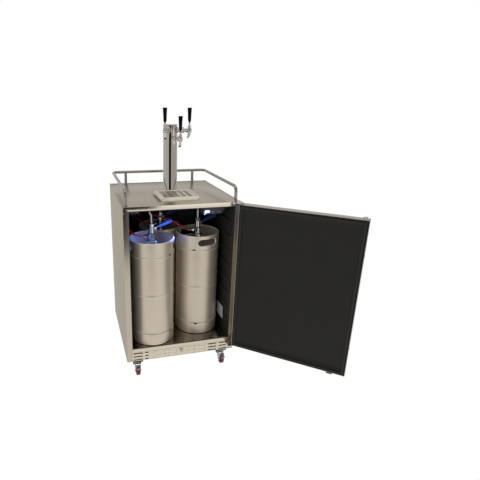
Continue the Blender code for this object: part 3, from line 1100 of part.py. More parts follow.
def fittings(looks):
    wall = LINER_BACK - LINER_WALL - GAP
    body = box((-MANIFOLD_WIDTH / 2, MANIFOLD_WIDTH / 2), (-MANIFOLD_DEPTH, 0),
               (-MANIFOLD_HEIGHT / 2, MANIFOLD_HEIGHT / 2))
    ports = [turned([(0, -EMBED), (MANIFOLD_PORT_RADIUS, -EMBED),
                     (MANIFOLD_PORT_RADIUS, MANIFOLD_PORT_LENGTH),
                     (0, MANIFOLD_PORT_LENGTH)], 12, "z", (0, 0, 0)) for port in (-1, 0, 1)]
    ports = [moved(shape, Matrix.Translation((port * MANIFOLD_PORT_PITCH, -MANIFOLD_DEPTH, 0))
                   @ Matrix.Rotation(math.pi / 2, 4, "X")) for shape, port in zip(ports, (-1, 0, 1))]
    node("gas_manifold", worked(body, ("UNION", together(ports))), looks["zinc"],
         at=(MANIFOLD_X, wall, MANIFOLD_Z))

    lamp_top = CEILING - GAP
    lamp = [(0, 0), (0, -LAMP_HEIGHT), (LAMP_WIDTH - LAMP_SLOPE, -LAMP_HEIGHT), (LAMP_WIDTH, 0)]
    node("lamp_housing", extruded(lamp, "y", 0, LAMP_DEPTH), looks["housing"],
         at=(LAMP_X, LAMP_FRONT, lamp_top))
    lens = box((0, LENS_WIDTH), (-LENS_THICKNESS, 0), (0, LENS_HEIGHT))
    node("lamp_lens", lens, looks["lens"], at=(LAMP_X + LENS_MARGIN, LAMP_FRONT - GAP,
                                               lamp_top - LAMP_HEIGHT + LENS_MARGIN))

    half = EVAPORATOR_WIDTH / 2
    cover_top = CEILING - EVAPORATOR_TOP_DROP
    chamfer = EVAPORATOR_DEPTH / 2
    outline = [(0, 0), (-EVAPORATOR_DEPTH + chamfer, 0), (-EVAPORATOR_DEPTH, -chamfer),
               (-EVAPORATOR_DEPTH, -EVAPORATOR_HEIGHT), (0, -EVAPORATOR_HEIGHT)]
    span = EVAPORATOR_WIDTH * EVAPORATOR_SLOT_SHARE
    slots = []
    for index in range(EVAPORATOR_SLOTS):
        z = -EVAPORATOR_HEIGHT / 2 + (index - (EVAPORATOR_SLOTS - 1) / 2) * EVAPORATOR_SLOT_PITCH
        slots.append(box((-span / 2, span / 2), (-EVAPORATOR_DEPTH - OVERRUN, -EVAPORATOR_DEPTH / 3),
                         (z - EVAPORATOR_SLOT_HEIGHT / 2, z + EVAPORATOR_SLOT_HEIGHT / 2)))
    cover = worked(extruded(outline, "x", -half, half), ("DIFFERENCE", together(slots)))
    node("evaporator_cover", cover, looks["housing"], at=(EVAPORATOR_X, wall, cover_top))


def machine_room(looks):
    foot, rim = COMPRESSOR_FOOT_RADIUS, COMPRESSOR_RADIUS
    height = COMPRESSOR_HEIGHT
    shell = [(0, 0), (foot, 0), (foot, COMPRESSOR_FOOT), (rim * 0.9, COMPRESSOR_FOOT * 1.2),
             (rim, COMPRESSOR_FOOT * 1.8),
             (rim, height * 0.55), (rim * 0.96, height * 0.58), (rim * 0.94, height * 0.8),
             (rim * 0.6, height * 0.96),
             (0, height)]
    node("compressor", turned(shell, KEG_SIDES), looks["dark_steel"],
         at=(COMPRESSOR_X, COMPRESSOR_Y, BASE_UNDERSIDE + BASE_SHEET + GAP))

    half = REAR_WINDOW_WIDTH / 2 + REAR_GRILLE_BORDER
    low = CABINET_BOTTOM + REAR_WINDOW_BOTTOM - REAR_GRILLE_BORDER
    high = CABINET_BOTTOM + REAR_WINDOW_TOP + REAR_GRILLE_BORDER
    face = DEPTH + GAP
    middle = (low + high) / 2
    slot_half = REAR_WINDOW_WIDTH * REAR_SLOT_SHARE / 2
    slots = []
    for row in range(REAR_SLOT_ROWS):
        z = middle + (row - (REAR_SLOT_ROWS - 1) / 2) * REAR_SLOT_PITCH
        for side in (-1, 1):
            x = side * REAR_WINDOW_WIDTH / 4
            slots.append(box((x - slot_half, x + slot_half),
                             (face - OVERRUN, face + REAR_GRILLE_SHEET + OVERRUN),
                             (z - REAR_SLOT_HEIGHT / 2, z + REAR_SLOT_HEIGHT / 2)))
    panel = worked(box((-half, half), (face, face + REAR_GRILLE_SHEET), (low, high)),
                   ("DIFFERENCE", together(slots)))
    node("rear_grille", panel, looks["dark_steel"])

    wide, tall = INLET_WIDTH / 2, INLET_HEIGHT / 2
    socket = box((-wide + INLET_WALL, wide - INLET_WALL), (INLET_DEPTH - INLET_RECESS, INLET_DEPTH + OVERRUN),
                 (-tall + INLET_WALL, tall - INLET_WALL))
    inlet = worked(box((-wide, wide), (0, INLET_DEPTH), (-tall, tall)), ("DIFFERENCE", socket))
    node("power_inlet", inlet, looks["grip"], at=(INLET_X, face, CABINET_BOTTOM + INLET_Z))


def hinge_brackets(looks):
    right, left = HALF - DOOR_SIDE_GAP, HALF - DOOR_SIDE_GAP - BRACKET_LENGTH
    low = TOP + DECK_BEAD_HEIGHT + GAP
    plate = box((left, right), (-BRACKET_REACH, BRACKET_BACK), (low, low + BRACKET_SHEET))
    leg = box((left, right), (-BRACKET_SHEET - GAP, -GAP), (TOP - BRACKET_LEG, low + EMBED))
    pin_bottom = DOOR_HIGH - PIN_LENGTH
    washer = BRACKET_WASHER
    pin = turned([(0, pin_bottom), (PIN_RADIUS, pin_bottom), (PIN_RADIUS, DOOR_HIGH + GAP),
                  (washer, DOOR_HIGH + GAP),
                  (washer, low + EMBED), (0, low + EMBED)], SMALL_SIDES, "z", (HINGE_X, HINGE_Y, 0))
    clip = box((right, right + 2 * BRACKET_WASHER), (-BRACKET_REACH, BRACKET_BACK),
               (pin_bottom, low + BRACKET_SHEET + OVERRUN))
    top = worked(plate, ("UNION", leg), ("UNION", pin), ("DIFFERENCE", clip))
    node("hinge_bracket_top", top, looks["chrome"])

    high = DOOR_LOW - GAP - SHEET
    plate = box((left, right), (-BRACKET_REACH, -GAP), (high - BRACKET_SHEET, high))
    leg = box((left, right), (-BRACKET_SHEET - GAP, -GAP), (high - BOTTOM_BRACKET_LEG, high - EMBED))
    pin_top = DOOR_LOW + PIN_LENGTH
    pin = turned([(0, high - EMBED), (washer, high - EMBED), (washer, DOOR_LOW - GAP),
                  (PIN_RADIUS, DOOR_LOW - GAP),
                  (PIN_RADIUS, pin_top), (0, pin_top)], SMALL_SIDES, "z", (HINGE_X, HINGE_Y, 0))
    clip = box((right, right + 2 * BRACKET_WASHER), (-BRACKET_REACH, BRACKET_BACK),
               (high - BOTTOM_BRACKET_LEG, pin_top + OVERRUN))
    bottom = worked(plate, ("UNION", leg), ("UNION", pin), ("DIFFERENCE", clip))
    node("hinge_bracket_bottom", bottom, looks["chrome"])


def frame_box(half, inset, width, y, low, high):
    """A rectangular ring and the hole in it, as two boxes."""
    outer = box((-half + inset, half - inset), y, (low + inset, high - inset))
    hole = box((-half + inset + width, half - inset - width), (y[0] - OVERRUN, y[1] + OVERRUN),
               (low + inset + width, high - inset - width))
    return outer, hole


def door(looks):
    hinge = pivot("door_hinge", (HINGE_X, HINGE_Y, 0), (0, 0, DOOR_OPEN))
    back = (-HINGE_X, -HINGE_Y, 0)
    pin_hole = PIN_RADIUS + PIN_CLEARANCE
    drills = []
    for z in (DOOR_HIGH, DOOR_LOW):
        drills.append([(0, z - PIN_LENGTH - OVERRUN), (pin_hole, z - PIN_LENGTH - OVERRUN),
                       (pin_hole, z + PIN_LENGTH + OVERRUN), (0, z + PIN_LENGTH + OVERRUN)])

    def pin_holes():
        return together([turned(profile, SMALL_SIDES, "z", (HINGE_X, HINGE_Y, 0)) for profile in drills])

    inset = DOOR_SHEET
    pan = box((-DOOR_HALF, DOOR_HALF), (DOOR_OUT, DOOR_IN), (DOOR_LOW, DOOR_HIGH))
    pocket = box((-DOOR_HALF + inset, DOOR_HALF - inset), (DOOR_OUT + inset, DOOR_IN + OVERRUN),
                 (DOOR_LOW + inset, DOOR_HIGH - inset))
    staple_x = -DOOR_HALF + STAPLE_FROM_EDGE
    staple_y = DOOR_IN - STAPLE_BACK
    outer, wire = STAPLE_WIDTH / 2, STAPLE_WIRE
    staple_top = DOOR_HIGH + STAPLE_HEIGHT
    staple = [(staple_x - outer, DOOR_HIGH - EMBED), (staple_x - outer, staple_top - wire),
              (staple_x - outer + wire, staple_top), (staple_x + outer - wire, staple_top),
              (staple_x + outer, staple_top - wire), (staple_x + outer, DOOR_HIGH - EMBED)]
    eye = box((staple_x - outer + wire, staple_x + outer - wire), (staple_y - wire, staple_y + wire),
              (DOOR_HIGH, staple_top - wire))
    catch_x = -DOOR_HALF + CATCH_FROM_EDGE
    catch = box((catch_x - CATCH_WIDTH / 2, catch_x + CATCH_WIDTH / 2),
                (DOOR_IN - CATCH_DEPTH, DOOR_IN - EMBED),
                (DOOR_LOW - CATCH_DROP, DOOR_LOW + EMBED))
    skin = worked(pan, ("DIFFERENCE", pocket), ("DIFFERENCE", pin_holes()), ("UNION", catch),
                  ("UNION", extruded(staple, "y", staple_y - wire / 2, staple_y + wire / 2)),
                  ("DIFFERENCE", eye))
    node("door_panel", skin, looks["steel"], back, hinge)

    inset = DOOR_SHEET + GAP
    slab = box((-DOOR_HALF + inset, DOOR_HALF - inset), (DOOR_OUT + inset, DOOR_IN),
               (DOOR_LOW + inset, DOOR_HIGH - inset))
    recess = box((-DOOR_HALF + DOOR_PANEL_INSET, DOOR_HALF - DOOR_PANEL_INSET),
                 (DOOR_IN - DOOR_PANEL_RECESS, OVERRUN),
                 (DOOR_LOW + DOOR_PANEL_INSET, DOOR_HIGH - DOOR_PANEL_INSET))
    inner = worked(slab, ("DIFFERENCE", recess), ("DIFFERENCE", pin_holes()))
    node("door_liner", inner, looks["liner"], back, hinge)

    seal, hole = frame_box(DOOR_HALF, GASKET_INSET, GASKET_WIDTH, (DOOR_IN + GAP, -GASKET_AIR), DOOR_LOW,
                           DOOR_HIGH)
    node("door_gasket", worked(seal, ("DIFFERENCE", hole)), looks["gasket"], back, hinge)

    door_height = DOOR_HIGH - DOOR_LOW
    bar_x = -DOOR_HALF + BAR_INSET
    bar_y = DOOR_OUT - BAR_STANDOFF
    high = DOOR_LOW + door_height * POST_TOP_SHARE
    low = DOOR_LOW + door_height * POST_BOTTOM_SHARE
    ends = (low - POST_RADIUS - BAR_OVERHANG, high + POST_RADIUS + BAR_OVERHANG)
    bar = turned([(0, ends[0]), (BAR_RADIUS, ends[0]), (BAR_RADIUS, ends[1]), (0, ends[1])], SMALL_SIDES, "z",
                 (bar_x, bar_y, 0))
    foot = DOOR_OUT - GAP
    posts = [turned([(0, bar_y), (POST_RADIUS * 0.8, bar_y), (POST_RADIUS, bar_y + POST_RADIUS / 2),
                     (POST_RADIUS, foot),
                     (0, foot)], SMALL_SIDES, "y", (bar_x, 0, z)) for z in (low, high)]
    node("door_handle", worked(bar, ("UNION", together(posts))), looks["chrome"], back, hinge)


def main():
    clear_scene()
    looks = {
        "steel": material("brushed_stainless", (0.60, 0.57, 0.52), 0.34, 1.0),
        "polished": material("polished_stainless", (0.66, 0.63, 0.57), 0.22, 1.0),
        "chrome": material("chrome", (0.78, 0.78, 0.77), 0.10, 1.0),
        "zinc": material("zinc_plate", (0.62, 0.63, 0.62), 0.35, 1.0),
        "dark_steel": material("painted_steel", (0.06, 0.06, 0.065), 0.50, 0.4),
        "liner": material("liner_plastic", (0.028, 0.028, 0.026), 0.42, 0.0),
        "gasket": material("gasket_rubber", (0.020, 0.020, 0.019), 0.60, 0.0),
        "foam": material("foam", (0.82, 0.74, 0.52), 0.90, 0.0),
        "housing": material("housing_plastic", (0.10, 0.10, 0.10), 0.50, 0.0),
        "grip": material("black_plastic", (0.012, 0.012, 0.014), 0.22, 0.0),
        "red": material("red_polyurethane", (0.23, 0.03, 0.05), 0.40, 0.0),
        "keg": material("keg_stainless", (0.64, 0.61, 0.56), 0.38, 1.0),
        "gas": material("red_hose", (0.42, 0.04, 0.05), 0.38, 0.0),
        "beer": material("clear_hose", (0.70, 0.70, 0.66), 0.25, 0.0),
        "lens": material("blue_lens", (0.45, 0.55, 1.00), 0.20, 0.0),
    }
    cabinet(looks)
    toe_kick(looks)
    base_frame(looks)
    casters(looks)
    guard_rail(looks)
    tower(looks)
    faucets(looks)
    drip_tray(looks)
    kegs(looks)
    lines(looks)
    fittings(looks)
    machine_room(looks)
    hinge_brackets(looks)
    door(looks)


main()
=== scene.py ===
"""Camera, light, finishes and fine pieces of the kegerator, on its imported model. Metres, +Z up."""
import math

import bmesh
import bpy
from mathutils import Matrix, Vector


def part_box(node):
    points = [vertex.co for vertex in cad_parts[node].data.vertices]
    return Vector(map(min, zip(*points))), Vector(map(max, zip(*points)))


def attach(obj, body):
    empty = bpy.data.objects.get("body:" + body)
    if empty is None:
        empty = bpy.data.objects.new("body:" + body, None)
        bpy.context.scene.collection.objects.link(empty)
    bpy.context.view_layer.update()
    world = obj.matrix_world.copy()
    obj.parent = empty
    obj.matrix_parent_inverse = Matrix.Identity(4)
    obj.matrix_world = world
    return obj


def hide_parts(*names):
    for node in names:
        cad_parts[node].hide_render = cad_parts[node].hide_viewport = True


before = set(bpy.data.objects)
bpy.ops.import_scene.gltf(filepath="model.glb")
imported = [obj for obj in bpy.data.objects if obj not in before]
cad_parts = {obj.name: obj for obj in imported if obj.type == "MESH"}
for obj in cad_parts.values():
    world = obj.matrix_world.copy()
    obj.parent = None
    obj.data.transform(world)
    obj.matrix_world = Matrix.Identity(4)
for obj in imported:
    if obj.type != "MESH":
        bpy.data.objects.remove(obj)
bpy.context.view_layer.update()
shell_low, shell_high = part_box("cabinet_wrapper")
MIDDLE_X = (shell_low[0] + shell_high[0]) / 2
FRONT_Y = shell_low[1]


def at(x, y, z):
    """A point given from the middle of the cabinet's front, at floor level."""
    return Vector((MIDDLE_X + x, FRONT_Y + y, z))


# Camera and light
FOCAL_PIXELS = 418.8
FRAME_PIXELS = 480
PRINCIPAL_X, PRINCIPAL_Y = 182.05, 245.43
SENSOR = 36
ROOM_FRONT, ROOM_BACK, ROOM_ABOVE, ROOM_SIDE = 0.56, 0.62, -0.36, 0.06
FLOOR_FRONT, FLOOR_BEHIND, FLOOR_AWAY = 0.84, 0.56, 0.22
KEY_LIGHT, FILL_LIGHT, OVER_LIGHT, LAMP_LIGHT, SPILL_LIGHT = 26, 12, 18, 31.0, 0.03
DARK_CARDS = {
    "dark_card": [(-1.45, -1.9, 0.001), (0.10, -1.9, 0.001), (0.10, -1.9, 1.75), (-1.45, -1.9, 1.75)],
    "dark_canopy": [(-1.3, -1.7, 2.7), (1.3, -1.7, 2.7), (1.3, -0.7, 2.7), (-1.3, -0.7, 2.7)],
}
WARM_WHITE = (1, 0.985, 0.96)
TINT, NUMBER, ARROW = "NodeSocketColor", "NodeSocketFloat", "NodeSocketVector"


def photograph_camera():
    yaw, pitch, roll = math.radians(14.996), math.radians(19.242), math.radians(0.77)
    ahead = Vector((math.sin(yaw) * math.cos(pitch), math.cos(yaw) * math.cos(pitch), -math.sin(pitch)))
    level = Vector((math.cos(yaw), -math.sin(yaw), 0))
    upright = level.cross(ahead)
    right = level * math.cos(roll) + upright * math.sin(roll)
    up = upright * math.cos(roll) - level * math.sin(roll)
    data = bpy.data.cameras.new("camera")
    data.sensor_width = SENSOR
    data.lens = FOCAL_PIXELS * SENSOR / FRAME_PIXELS
    data.shift_x = 0.5 - PRINCIPAL_X / FRAME_PIXELS
    data.shift_y = PRINCIPAL_Y / FRAME_PIXELS - 0.5
    camera = bpy.data.objects.new("camera", data)
    turn = Matrix((right, up, -ahead)).transposed().to_4x4()
    camera.matrix_world = Matrix.Translation(at(-0.5177, -1.9126, 1.4290)) @ turn
    bpy.context.scene.collection.objects.link(camera)
    bpy.context.scene.camera = camera


def soft_light(name, place, target, size, power, colour=(1, 1, 1)):
    data = bpy.data.lights.new(name, "AREA")
    data.shape = "RECTANGLE"
    data.size, data.size_y = size
    data.energy = power
    data.color = colour
    lamp = bpy.data.objects.new(name, data)
    lamp.location = place
    lamp.rotation_euler = (target - place).to_track_quat("-Z", "Y").to_euler()
    bpy.context.scene.collection.objects.link(lamp)
    return lamp


def effect(name, inputs):
    """A shared group for a finish, with the sockets of its input and output nodes."""
    group = bpy.data.node_groups.new(name, "ShaderNodeTree")
    for label, kind, value in inputs:
        group.interface.new_socket(label, in_out="INPUT", socket_type=kind).default_value = value
    for label, kind in (("Color", TINT), ("Roughness", NUMBER), ("Height", NUMBER)):
        group.interface.new_socket(label, in_out="OUTPUT", socket_type=kind)
    return group, group.nodes.new("NodeGroupInput").outputs, group.nodes.new("NodeGroupOutput").inputs


def add(group, kind, settings=None, **inputs):
    """A node with its settings and its input values or links: i0 is the first input, _ is a space."""
    node = group.nodes.new(kind)
    for key, value in (settings or {}).items():
        setattr(node, key, value)
    for key, value in inputs.items():
        socket = node.inputs[int(key[1:]) if key[1:].isdigit() else key.replace("_", " ")]
        if isinstance(value, bpy.types.NodeSocket):
            group.links.new(value, socket)
        else:
            socket.default_value = value
    return node


def scaled(group, value, by, plus, clamp=False):
    """The value times one number plus another."""
    settings = {"operation": "MULTIPLY_ADD", "use_clamp": clamp}
    return add(group, "ShaderNodeMath", settings, i0=value, i1=by, i2=plus).outputs[0]


def eased(group, value, start, end, low, high):
    """A soft step from one number to another while the value passes from start to end."""
    settings = {"interpolation_type": "SMOOTHSTEP"}
    return add(group, "ShaderNodeMapRange", settings, Value=value, From_Min=start, From_Max=end,
        To_Min=low, To_Max=high).outputs[0]


def place_of(tree, kind):
    """The three parts of a place in the world or on the floor."""
    where = add(tree, "ShaderNodeTexCoord")
    return add(tree, "ShaderNodeSeparateXYZ", Vector=where.outputs[kind]).outputs


def shine(tree, colour, strength=1.0):
    """An even light from a sheet or from the world, its strength a number or a link."""
    kind = "ShaderNodeEmission" if "Material Output" in tree.nodes else "ShaderNodeBackground"
    return add(tree, kind, Color=(*colour, 1), Strength=strength)


def seen_as(tree, unseen, out):
    """Camera rays meet plain white, all others another light."""
    seen = shine(tree, (1, 1, 1))
    path = add(tree, "ShaderNodeLightPath")
    mix = add(tree, "ShaderNodeMixShader", i0=path.outputs["Is Camera Ray"], i1=unseen.outputs[0],
        i2=seen.outputs[0])
    tree.links.new(mix.outputs[0], out.inputs["Surface"])


def stage_sheet(name, corners):
    sheet = bpy.data.meshes.new(name)
    sheet.from_pydata(corners, [], [(0, 1, 2, 3)])
    item = bpy.data.objects.new(name, sheet)
    bpy.context.scene.collection.objects.link(item)
    look = bpy.data.materials.new(name)
    look.use_nodes = True
    sheet.materials.append(look)
    return item, look.node_tree


def studio():
    """A white backdrop to the camera, with a room and a pale floor that are shaded for reflections."""
    bpy.context.scene.view_settings.view_transform = "Standard"
    world = bpy.data.worlds.new("studio")
    bpy.context.scene.world = world
    world.use_nodes = True
    tree = world.node_tree
    tree.nodes.clear()
    out = tree.nodes.new("ShaderNodeOutputWorld")
    way = place_of(tree, "Generated")
    depth = eased(tree, way["Y"], -0.7, 0.6, ROOM_FRONT, ROOM_BACK)
    above = eased(tree, way["Z"], 0.40, 0.80, 0.0, ROOM_ABOVE)
    side = scaled(tree, way["X"], -ROOM_SIDE, depth)
    seen_as(tree, shine(tree, WARM_WHITE, scaled(tree, side, 1.0, above)), out)
    heart = at(0, 0.2, 0.6)
    soft_light("key_left", at(-2.4, -2.4, 2.4), heart, (2.0, 2.0), KEY_LIGHT).visible_glossy = False
    soft_light("fill_right", at(2.6, -1.6, 1.9), heart, (1.6, 2.0), FILL_LIGHT).visible_glossy = False
    soft_light("over", at(0.1, 0.2, 3.2), heart, (2.4, 2.4), OVER_LIGHT)
    reach = 14
    floor, tree = stage_sheet("floor", [(-reach, -reach, 0), (reach, -reach, 0), (reach, reach, 0),
        (-reach, reach, 0)])
    floor.location = at(0, 0, -0.0004)
    spot = place_of(tree, "Object")
    # The floor's glow drops under and behind the cabinet's front: painted shade of the cabinet.
    near = eased(tree, spot["Y"], -0.16, 0.14, FLOOR_FRONT, FLOOR_BEHIND)
    away = eased(tree, spot["Y"], -3.2, -1.6, FLOOR_AWAY, 0.0)
    seen_as(tree, shine(tree, WARM_WHITE, scaled(tree, near, 1.0, away)), tree.nodes["Material Output"])
    for name, corners in DARK_CARDS.items():
        card, tree = stage_sheet(name, [at(*corner) for corner in corners])
        card.visible_camera = card.visible_diffuse = False
        card.visible_shadow = card.visible_transmission = False
        paint = tree.nodes["Principled BSDF"].inputs
        paint["Base Color"].default_value = (0.006, 0.005, 0.004, 1)
        paint["Roughness"].default_value = 1.0


# Finishes
def surfaced(group, given, result, clouds, clouding, tone, height):
    """The outputs of a finish: its toned colour, its clouded roughness and its height."""
    colour = add(group, "ShaderNodeVectorMath", {"operation": "SCALE"}, i0=given["Color"], Scale=tone)
    rough = scaled(group, clouds, clouding, given["Roughness"], True)
    for name, value in (("Color", colour.outputs[0]), ("Roughness", rough), ("Height", height)):
        group.links.new(value, result[name])
    return group


def noise(group, place, size, detail, rough):
    return add(group, "ShaderNodeTexNoise", Vector=place, Scale=size, Detail=detail,
        Roughness=rough).outputs["Fac"]


def grain_effect():
    """Fine streaks of brushed metal along one axis, with broad soft clouding."""
    group, given, result = effect("brushed_grain", [("Color", TINT, (0.6, 0.57, 0.52, 1)),
        ("Roughness", NUMBER, 0.3), ("Stretch", ARROW, (8, 8, 900)), ("Contrast", NUMBER, 0.12),
        ("Clouding", NUMBER, 0.06)])
    place = add(group, "ShaderNodeTexCoord").outputs["Object"]
    stretched = add(group, "ShaderNodeVectorMath", {"operation": "MULTIPLY"}, i0=place,
        i1=given["Stretch"])
    streaks = noise(group, stretched.outputs[0], 1.0, 5.0, 0.65)
    clouds = noise(group, place, 7.0, 3.0, 0.5)
    tone = scaled(group, clouds, given["Clouding"], scaled(group, streaks, given["Contrast"], 1.0))
    spread = scaled(group, given["Contrast"], 1.0, given["Clouding"])
    tone = scaled(group, spread, -0.5, tone)
    return surfaced(group, given, result, clouds, given["Clouding"], tone, streaks)


def speckle_effect():
    """The fine pebbled grain of moulded plastic or cast metal, with faint wear clouds."""
    group, given, result = effect("pebbled_grain", [("Color", TINT, (0.03, 0.03, 0.03, 1)),
        ("Roughness", NUMBER, 0.45), ("Size", NUMBER, 900.0), ("Variation", NUMBER, 0.2)])
    place = add(group, "ShaderNodeTexCoord").outputs["Object"]
    pebbles = add(group, "ShaderNodeTexVoronoi", Vector=place, Scale=given["Size"])
    clouds = noise(group, place, 9.0, 4.0, 0.6)
    tone = scaled(group, given["Variation"], -0.5, scaled(group, clouds, given["Variation"], 1.0))
    return surfaced(group, given, result, clouds, given["Variation"], tone, pebbles.outputs["Distance"])


def finish(name, group, values, metallic, bump, distance, **shader_values):
    """A material whose colour, roughness and bump come from a shared effect."""
    look = bpy.data.materials.new(name)
    look.use_nodes = True
    tree = look.node_tree
    shader = tree.nodes["Principled BSDF"]
    shader.inputs["Metallic"].default_value = metallic
    for key, value in shader_values.items():
        shader.inputs[key.replace("_", " ")].default_value = value
    source = tree.nodes.new("ShaderNodeGroup")
    source.node_tree = group
    for key, value in values.items():
        source.inputs[key].default_value = value
    relief = add(tree, "ShaderNodeBump", Height=source.outputs["Height"], Strength=bump,
        Distance=distance)
    tree.links.new(source.outputs["Color"], shader.inputs["Base Color"])
    tree.links.new(source.outputs["Roughness"], shader.inputs["Roughness"])
    tree.links.new(relief.outputs[0], shader.inputs["Normal"])
    return look


GRAIN = grain_effect()
PEBBLES = speckle_effect()


def metal(name, colour, roughness, stretch=(8, 8, 900), contrast=0.12, clouding=0.06, bump=0.15,
        **shader_values):
    """Brushed metal; the stretch sets how fine its streaks are along X, Y and Z."""
    values = {"Color": (*colour, 1), "Roughness": roughness, "Stretch": stretch, "Contrast": contrast,
        "Clouding": clouding}
    return finish(name, GRAIN, values, 1.0, bump, 0.0003, **shader_values)


def moulded(name, colour, roughness, size=900, variation=0.2, bump=0.2, **shader_values):
    """Moulded plastic, rubber or paint with a pebbled grain."""
    values = {"Color": (*colour, 1), "Roughness": roughness, "Size": size, "Variation": variation}
    return finish(name, PEBBLES, values, 0.0, bump, 0.0004, **shader_values)


LOOKS = {
    "side": metal("side_brushed_steel", (0.60, 0.54, 0.42), 0.34, (900, 6, 6)),
    "deck": metal("deck_brushed_steel", (0.60, 0.53, 0.435), 0.26, (6, 900, 900), 0.10, 0.04, 0.08),
    # Front flanges and front edges: their upright grain and lower roughness are their own, their darker
    # tone is painted shade.
    "flange": metal("flange_steel_painted_shade", (0.55, 0.50, 0.405), 0.19, (900, 900, 6), 0.06, 0.03, 0.06),
    # The front lip: a lighter copy of the deck steel, a painted highlight.
    "lip": metal("lip_steel_painted_highlight", (0.74, 0.68, 0.57), 0.12, (6, 900, 900), 0.06),
    "kick": metal("kick_brushed_steel", (0.72, 0.65, 0.53), 0.24, (6, 900, 900)),
    # Blades behind the kick slots: near-white, painted light showing through the slots.
    "louvre": metal("louvre_painted_light_steel", (0.92, 0.88, 0.78), 0.40, (6, 700, 700)),
    "door_steel": metal("door_brushed_steel", (0.62, 0.59, 0.53), 0.30, (6, 900, 900)),
    "copper": metal("copper_tube", (0.62, 0.30, 0.17), 0.25, (60, 60, 60)),
    "polished": metal("polished_steel", (0.66, 0.60, 0.52), 0.06, (6, 700, 700), 0.06, 0.02, 0.04),
    # The tray's front faces: near-white, a painted highlight on the polished rim.
    "tray_front": metal("tray_front_steel", (0.98, 0.91, 0.76), 0.16, (6, 700, 700), 0.05, 0.02,
        0.04, Metallic=0.25),
    # Keg beads and hand-hole rims: near-white, a painted highlight along each ridge.
    "bead": metal("keg_bead_painted_highlight", (0.92, 0.85, 0.74), 0.30, (60, 60, 500), 0.08, 0.04, Metallic=0.35),
    "grille": metal("grille_steel", (0.74, 0.67, 0.58), 0.10, (6, 700, 700), 0.06, 0.02, 0.04,
        Metallic=0.75),
    "tower": metal("tower_chrome", (0.57, 0.53, 0.485), 0.035, (30, 30, 30), 0.03, 0.03, 0.02),
    "lock_face": metal("lock_face_chrome", (0.60, 0.56, 0.50), 0.30, (40, 40, 40), 0.05, 0.03, 0.04),
    "keg_foot": moulded("keg_foot_shadow", (0.030, 0.022, 0.012), 0.6, 300, 0.1, 0.1,
        Specular_IOR_Level=0.1),
    "keg_floor": metal("keg_floor_steel", (0.50, 0.44, 0.37), 0.16, (6, 700, 700), 0.10),
    "chrome": metal("bright_chrome", (0.66, 0.64, 0.61), 0.035, (30, 30, 30), 0.03, 0.03, 0.02),
    "tube": metal("satin_tube", (0.38, 0.37, 0.335), 0.10, (600, 600, 8), 0.06),
    "zinc": metal("zinc_plate", (0.62, 0.63, 0.60), 0.30, (200, 200, 200), 0.15),
    "keg": metal("keg_steel", (0.685, 0.605, 0.50), 0.38, (5, 5, 500), 0.10, Metallic=0.7),
    "black_paint": moulded("black_paint", (0.025, 0.025, 0.026), 0.45, 500, 0.2, 0.1),
    "liner": moulded("liner_plastic", (0.020, 0.020, 0.018), 0.42, 900, 0.3, 0.3),
    "door_liner": moulded("door_liner_plastic", (0.012, 0.0115, 0.0095), 0.45, 900, 0.3, 0.3,
        Specular_IOR_Level=0.3),
    "gasket": moulded("seal_rubber", (0.012, 0.012, 0.011), 0.55, 700, 0.3, 0.2),
    "foam": moulded("foam", (0.78, 0.68, 0.45), 0.9, 250, 0.3, 0.6),
    "housing": moulded("grey_plastic", (0.055, 0.056, 0.058), 0.45, 800, 0.2, 0.2),
    "grip": moulded("handle_black", (0.004, 0.004, 0.005), 0.18, 400, 0.1, 0.03),
    "red": moulded("caster_red", (0.20, 0.018, 0.030), 0.35, 500, 0.25, 0.15),
    "gas": moulded("gas_hose_red", (0.45, 0.020, 0.022), 0.30, 700, 0.15, 0.1),
    "beer": moulded("beer_hose", (0.62, 0.63, 0.62), 0.22, 700, 0.1, 0.1),
    "handle_black": moulded("tap_black", (0.0012, 0.0012, 0.0014), 0.34, 400, 0.1, 0.03,
        Specular_IOR_Level=0.10),
    "cast_chrome": metal("cast_chrome", (0.70, 0.70, 0.69), 0.16, (60, 60, 60), 0.05, 0.05, 0.05),
    "hub": moulded("caster_hub_red", (0.13, 0.012, 0.022), 0.4, 500, 0.25, 0.15),
    "label": moulded("bare_label", (0.52, 0.50, 0.56), 0.45, 300, 0.1, 0.05),
    "pull": moulded("coupler_pull_blue", (0.035, 0.085, 0.26), 0.22, 400, 0.15, 0.05),
    # The right-hand pull: a darker copy of the blue pull, painted shade.
    "pull_shaded": moulded("coupler_pull_shaded", (0.020, 0.055, 0.165), 0.22, 400, 0.15, 0.05),
    "shadow_gap": moulded("shadow_gap", (0.003, 0.003, 0.003), 0.8, 300, 0.1, 0.1,
        Specular_IOR_Level=0.08),
    "lens": moulded("lens_blue", (0.55, 0.62, 1.0), 0.2, 700, 0.1, 0.1,
        Emission_Color=(0.25, 0.38, 1.0, 1),
                    Emission_Strength=2.2),
}


def dress_nodes():
    """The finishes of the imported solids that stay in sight."""
    for node, key in (("inner_liner", "liner"), ("base_frame", "black_paint"), ("insulation", "foam")):
        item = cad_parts[node]
        if not item.material_slots:
            item.data.materials.append(None)
        for slot in item.material_slots:
            slot.material = LOOKS[key]


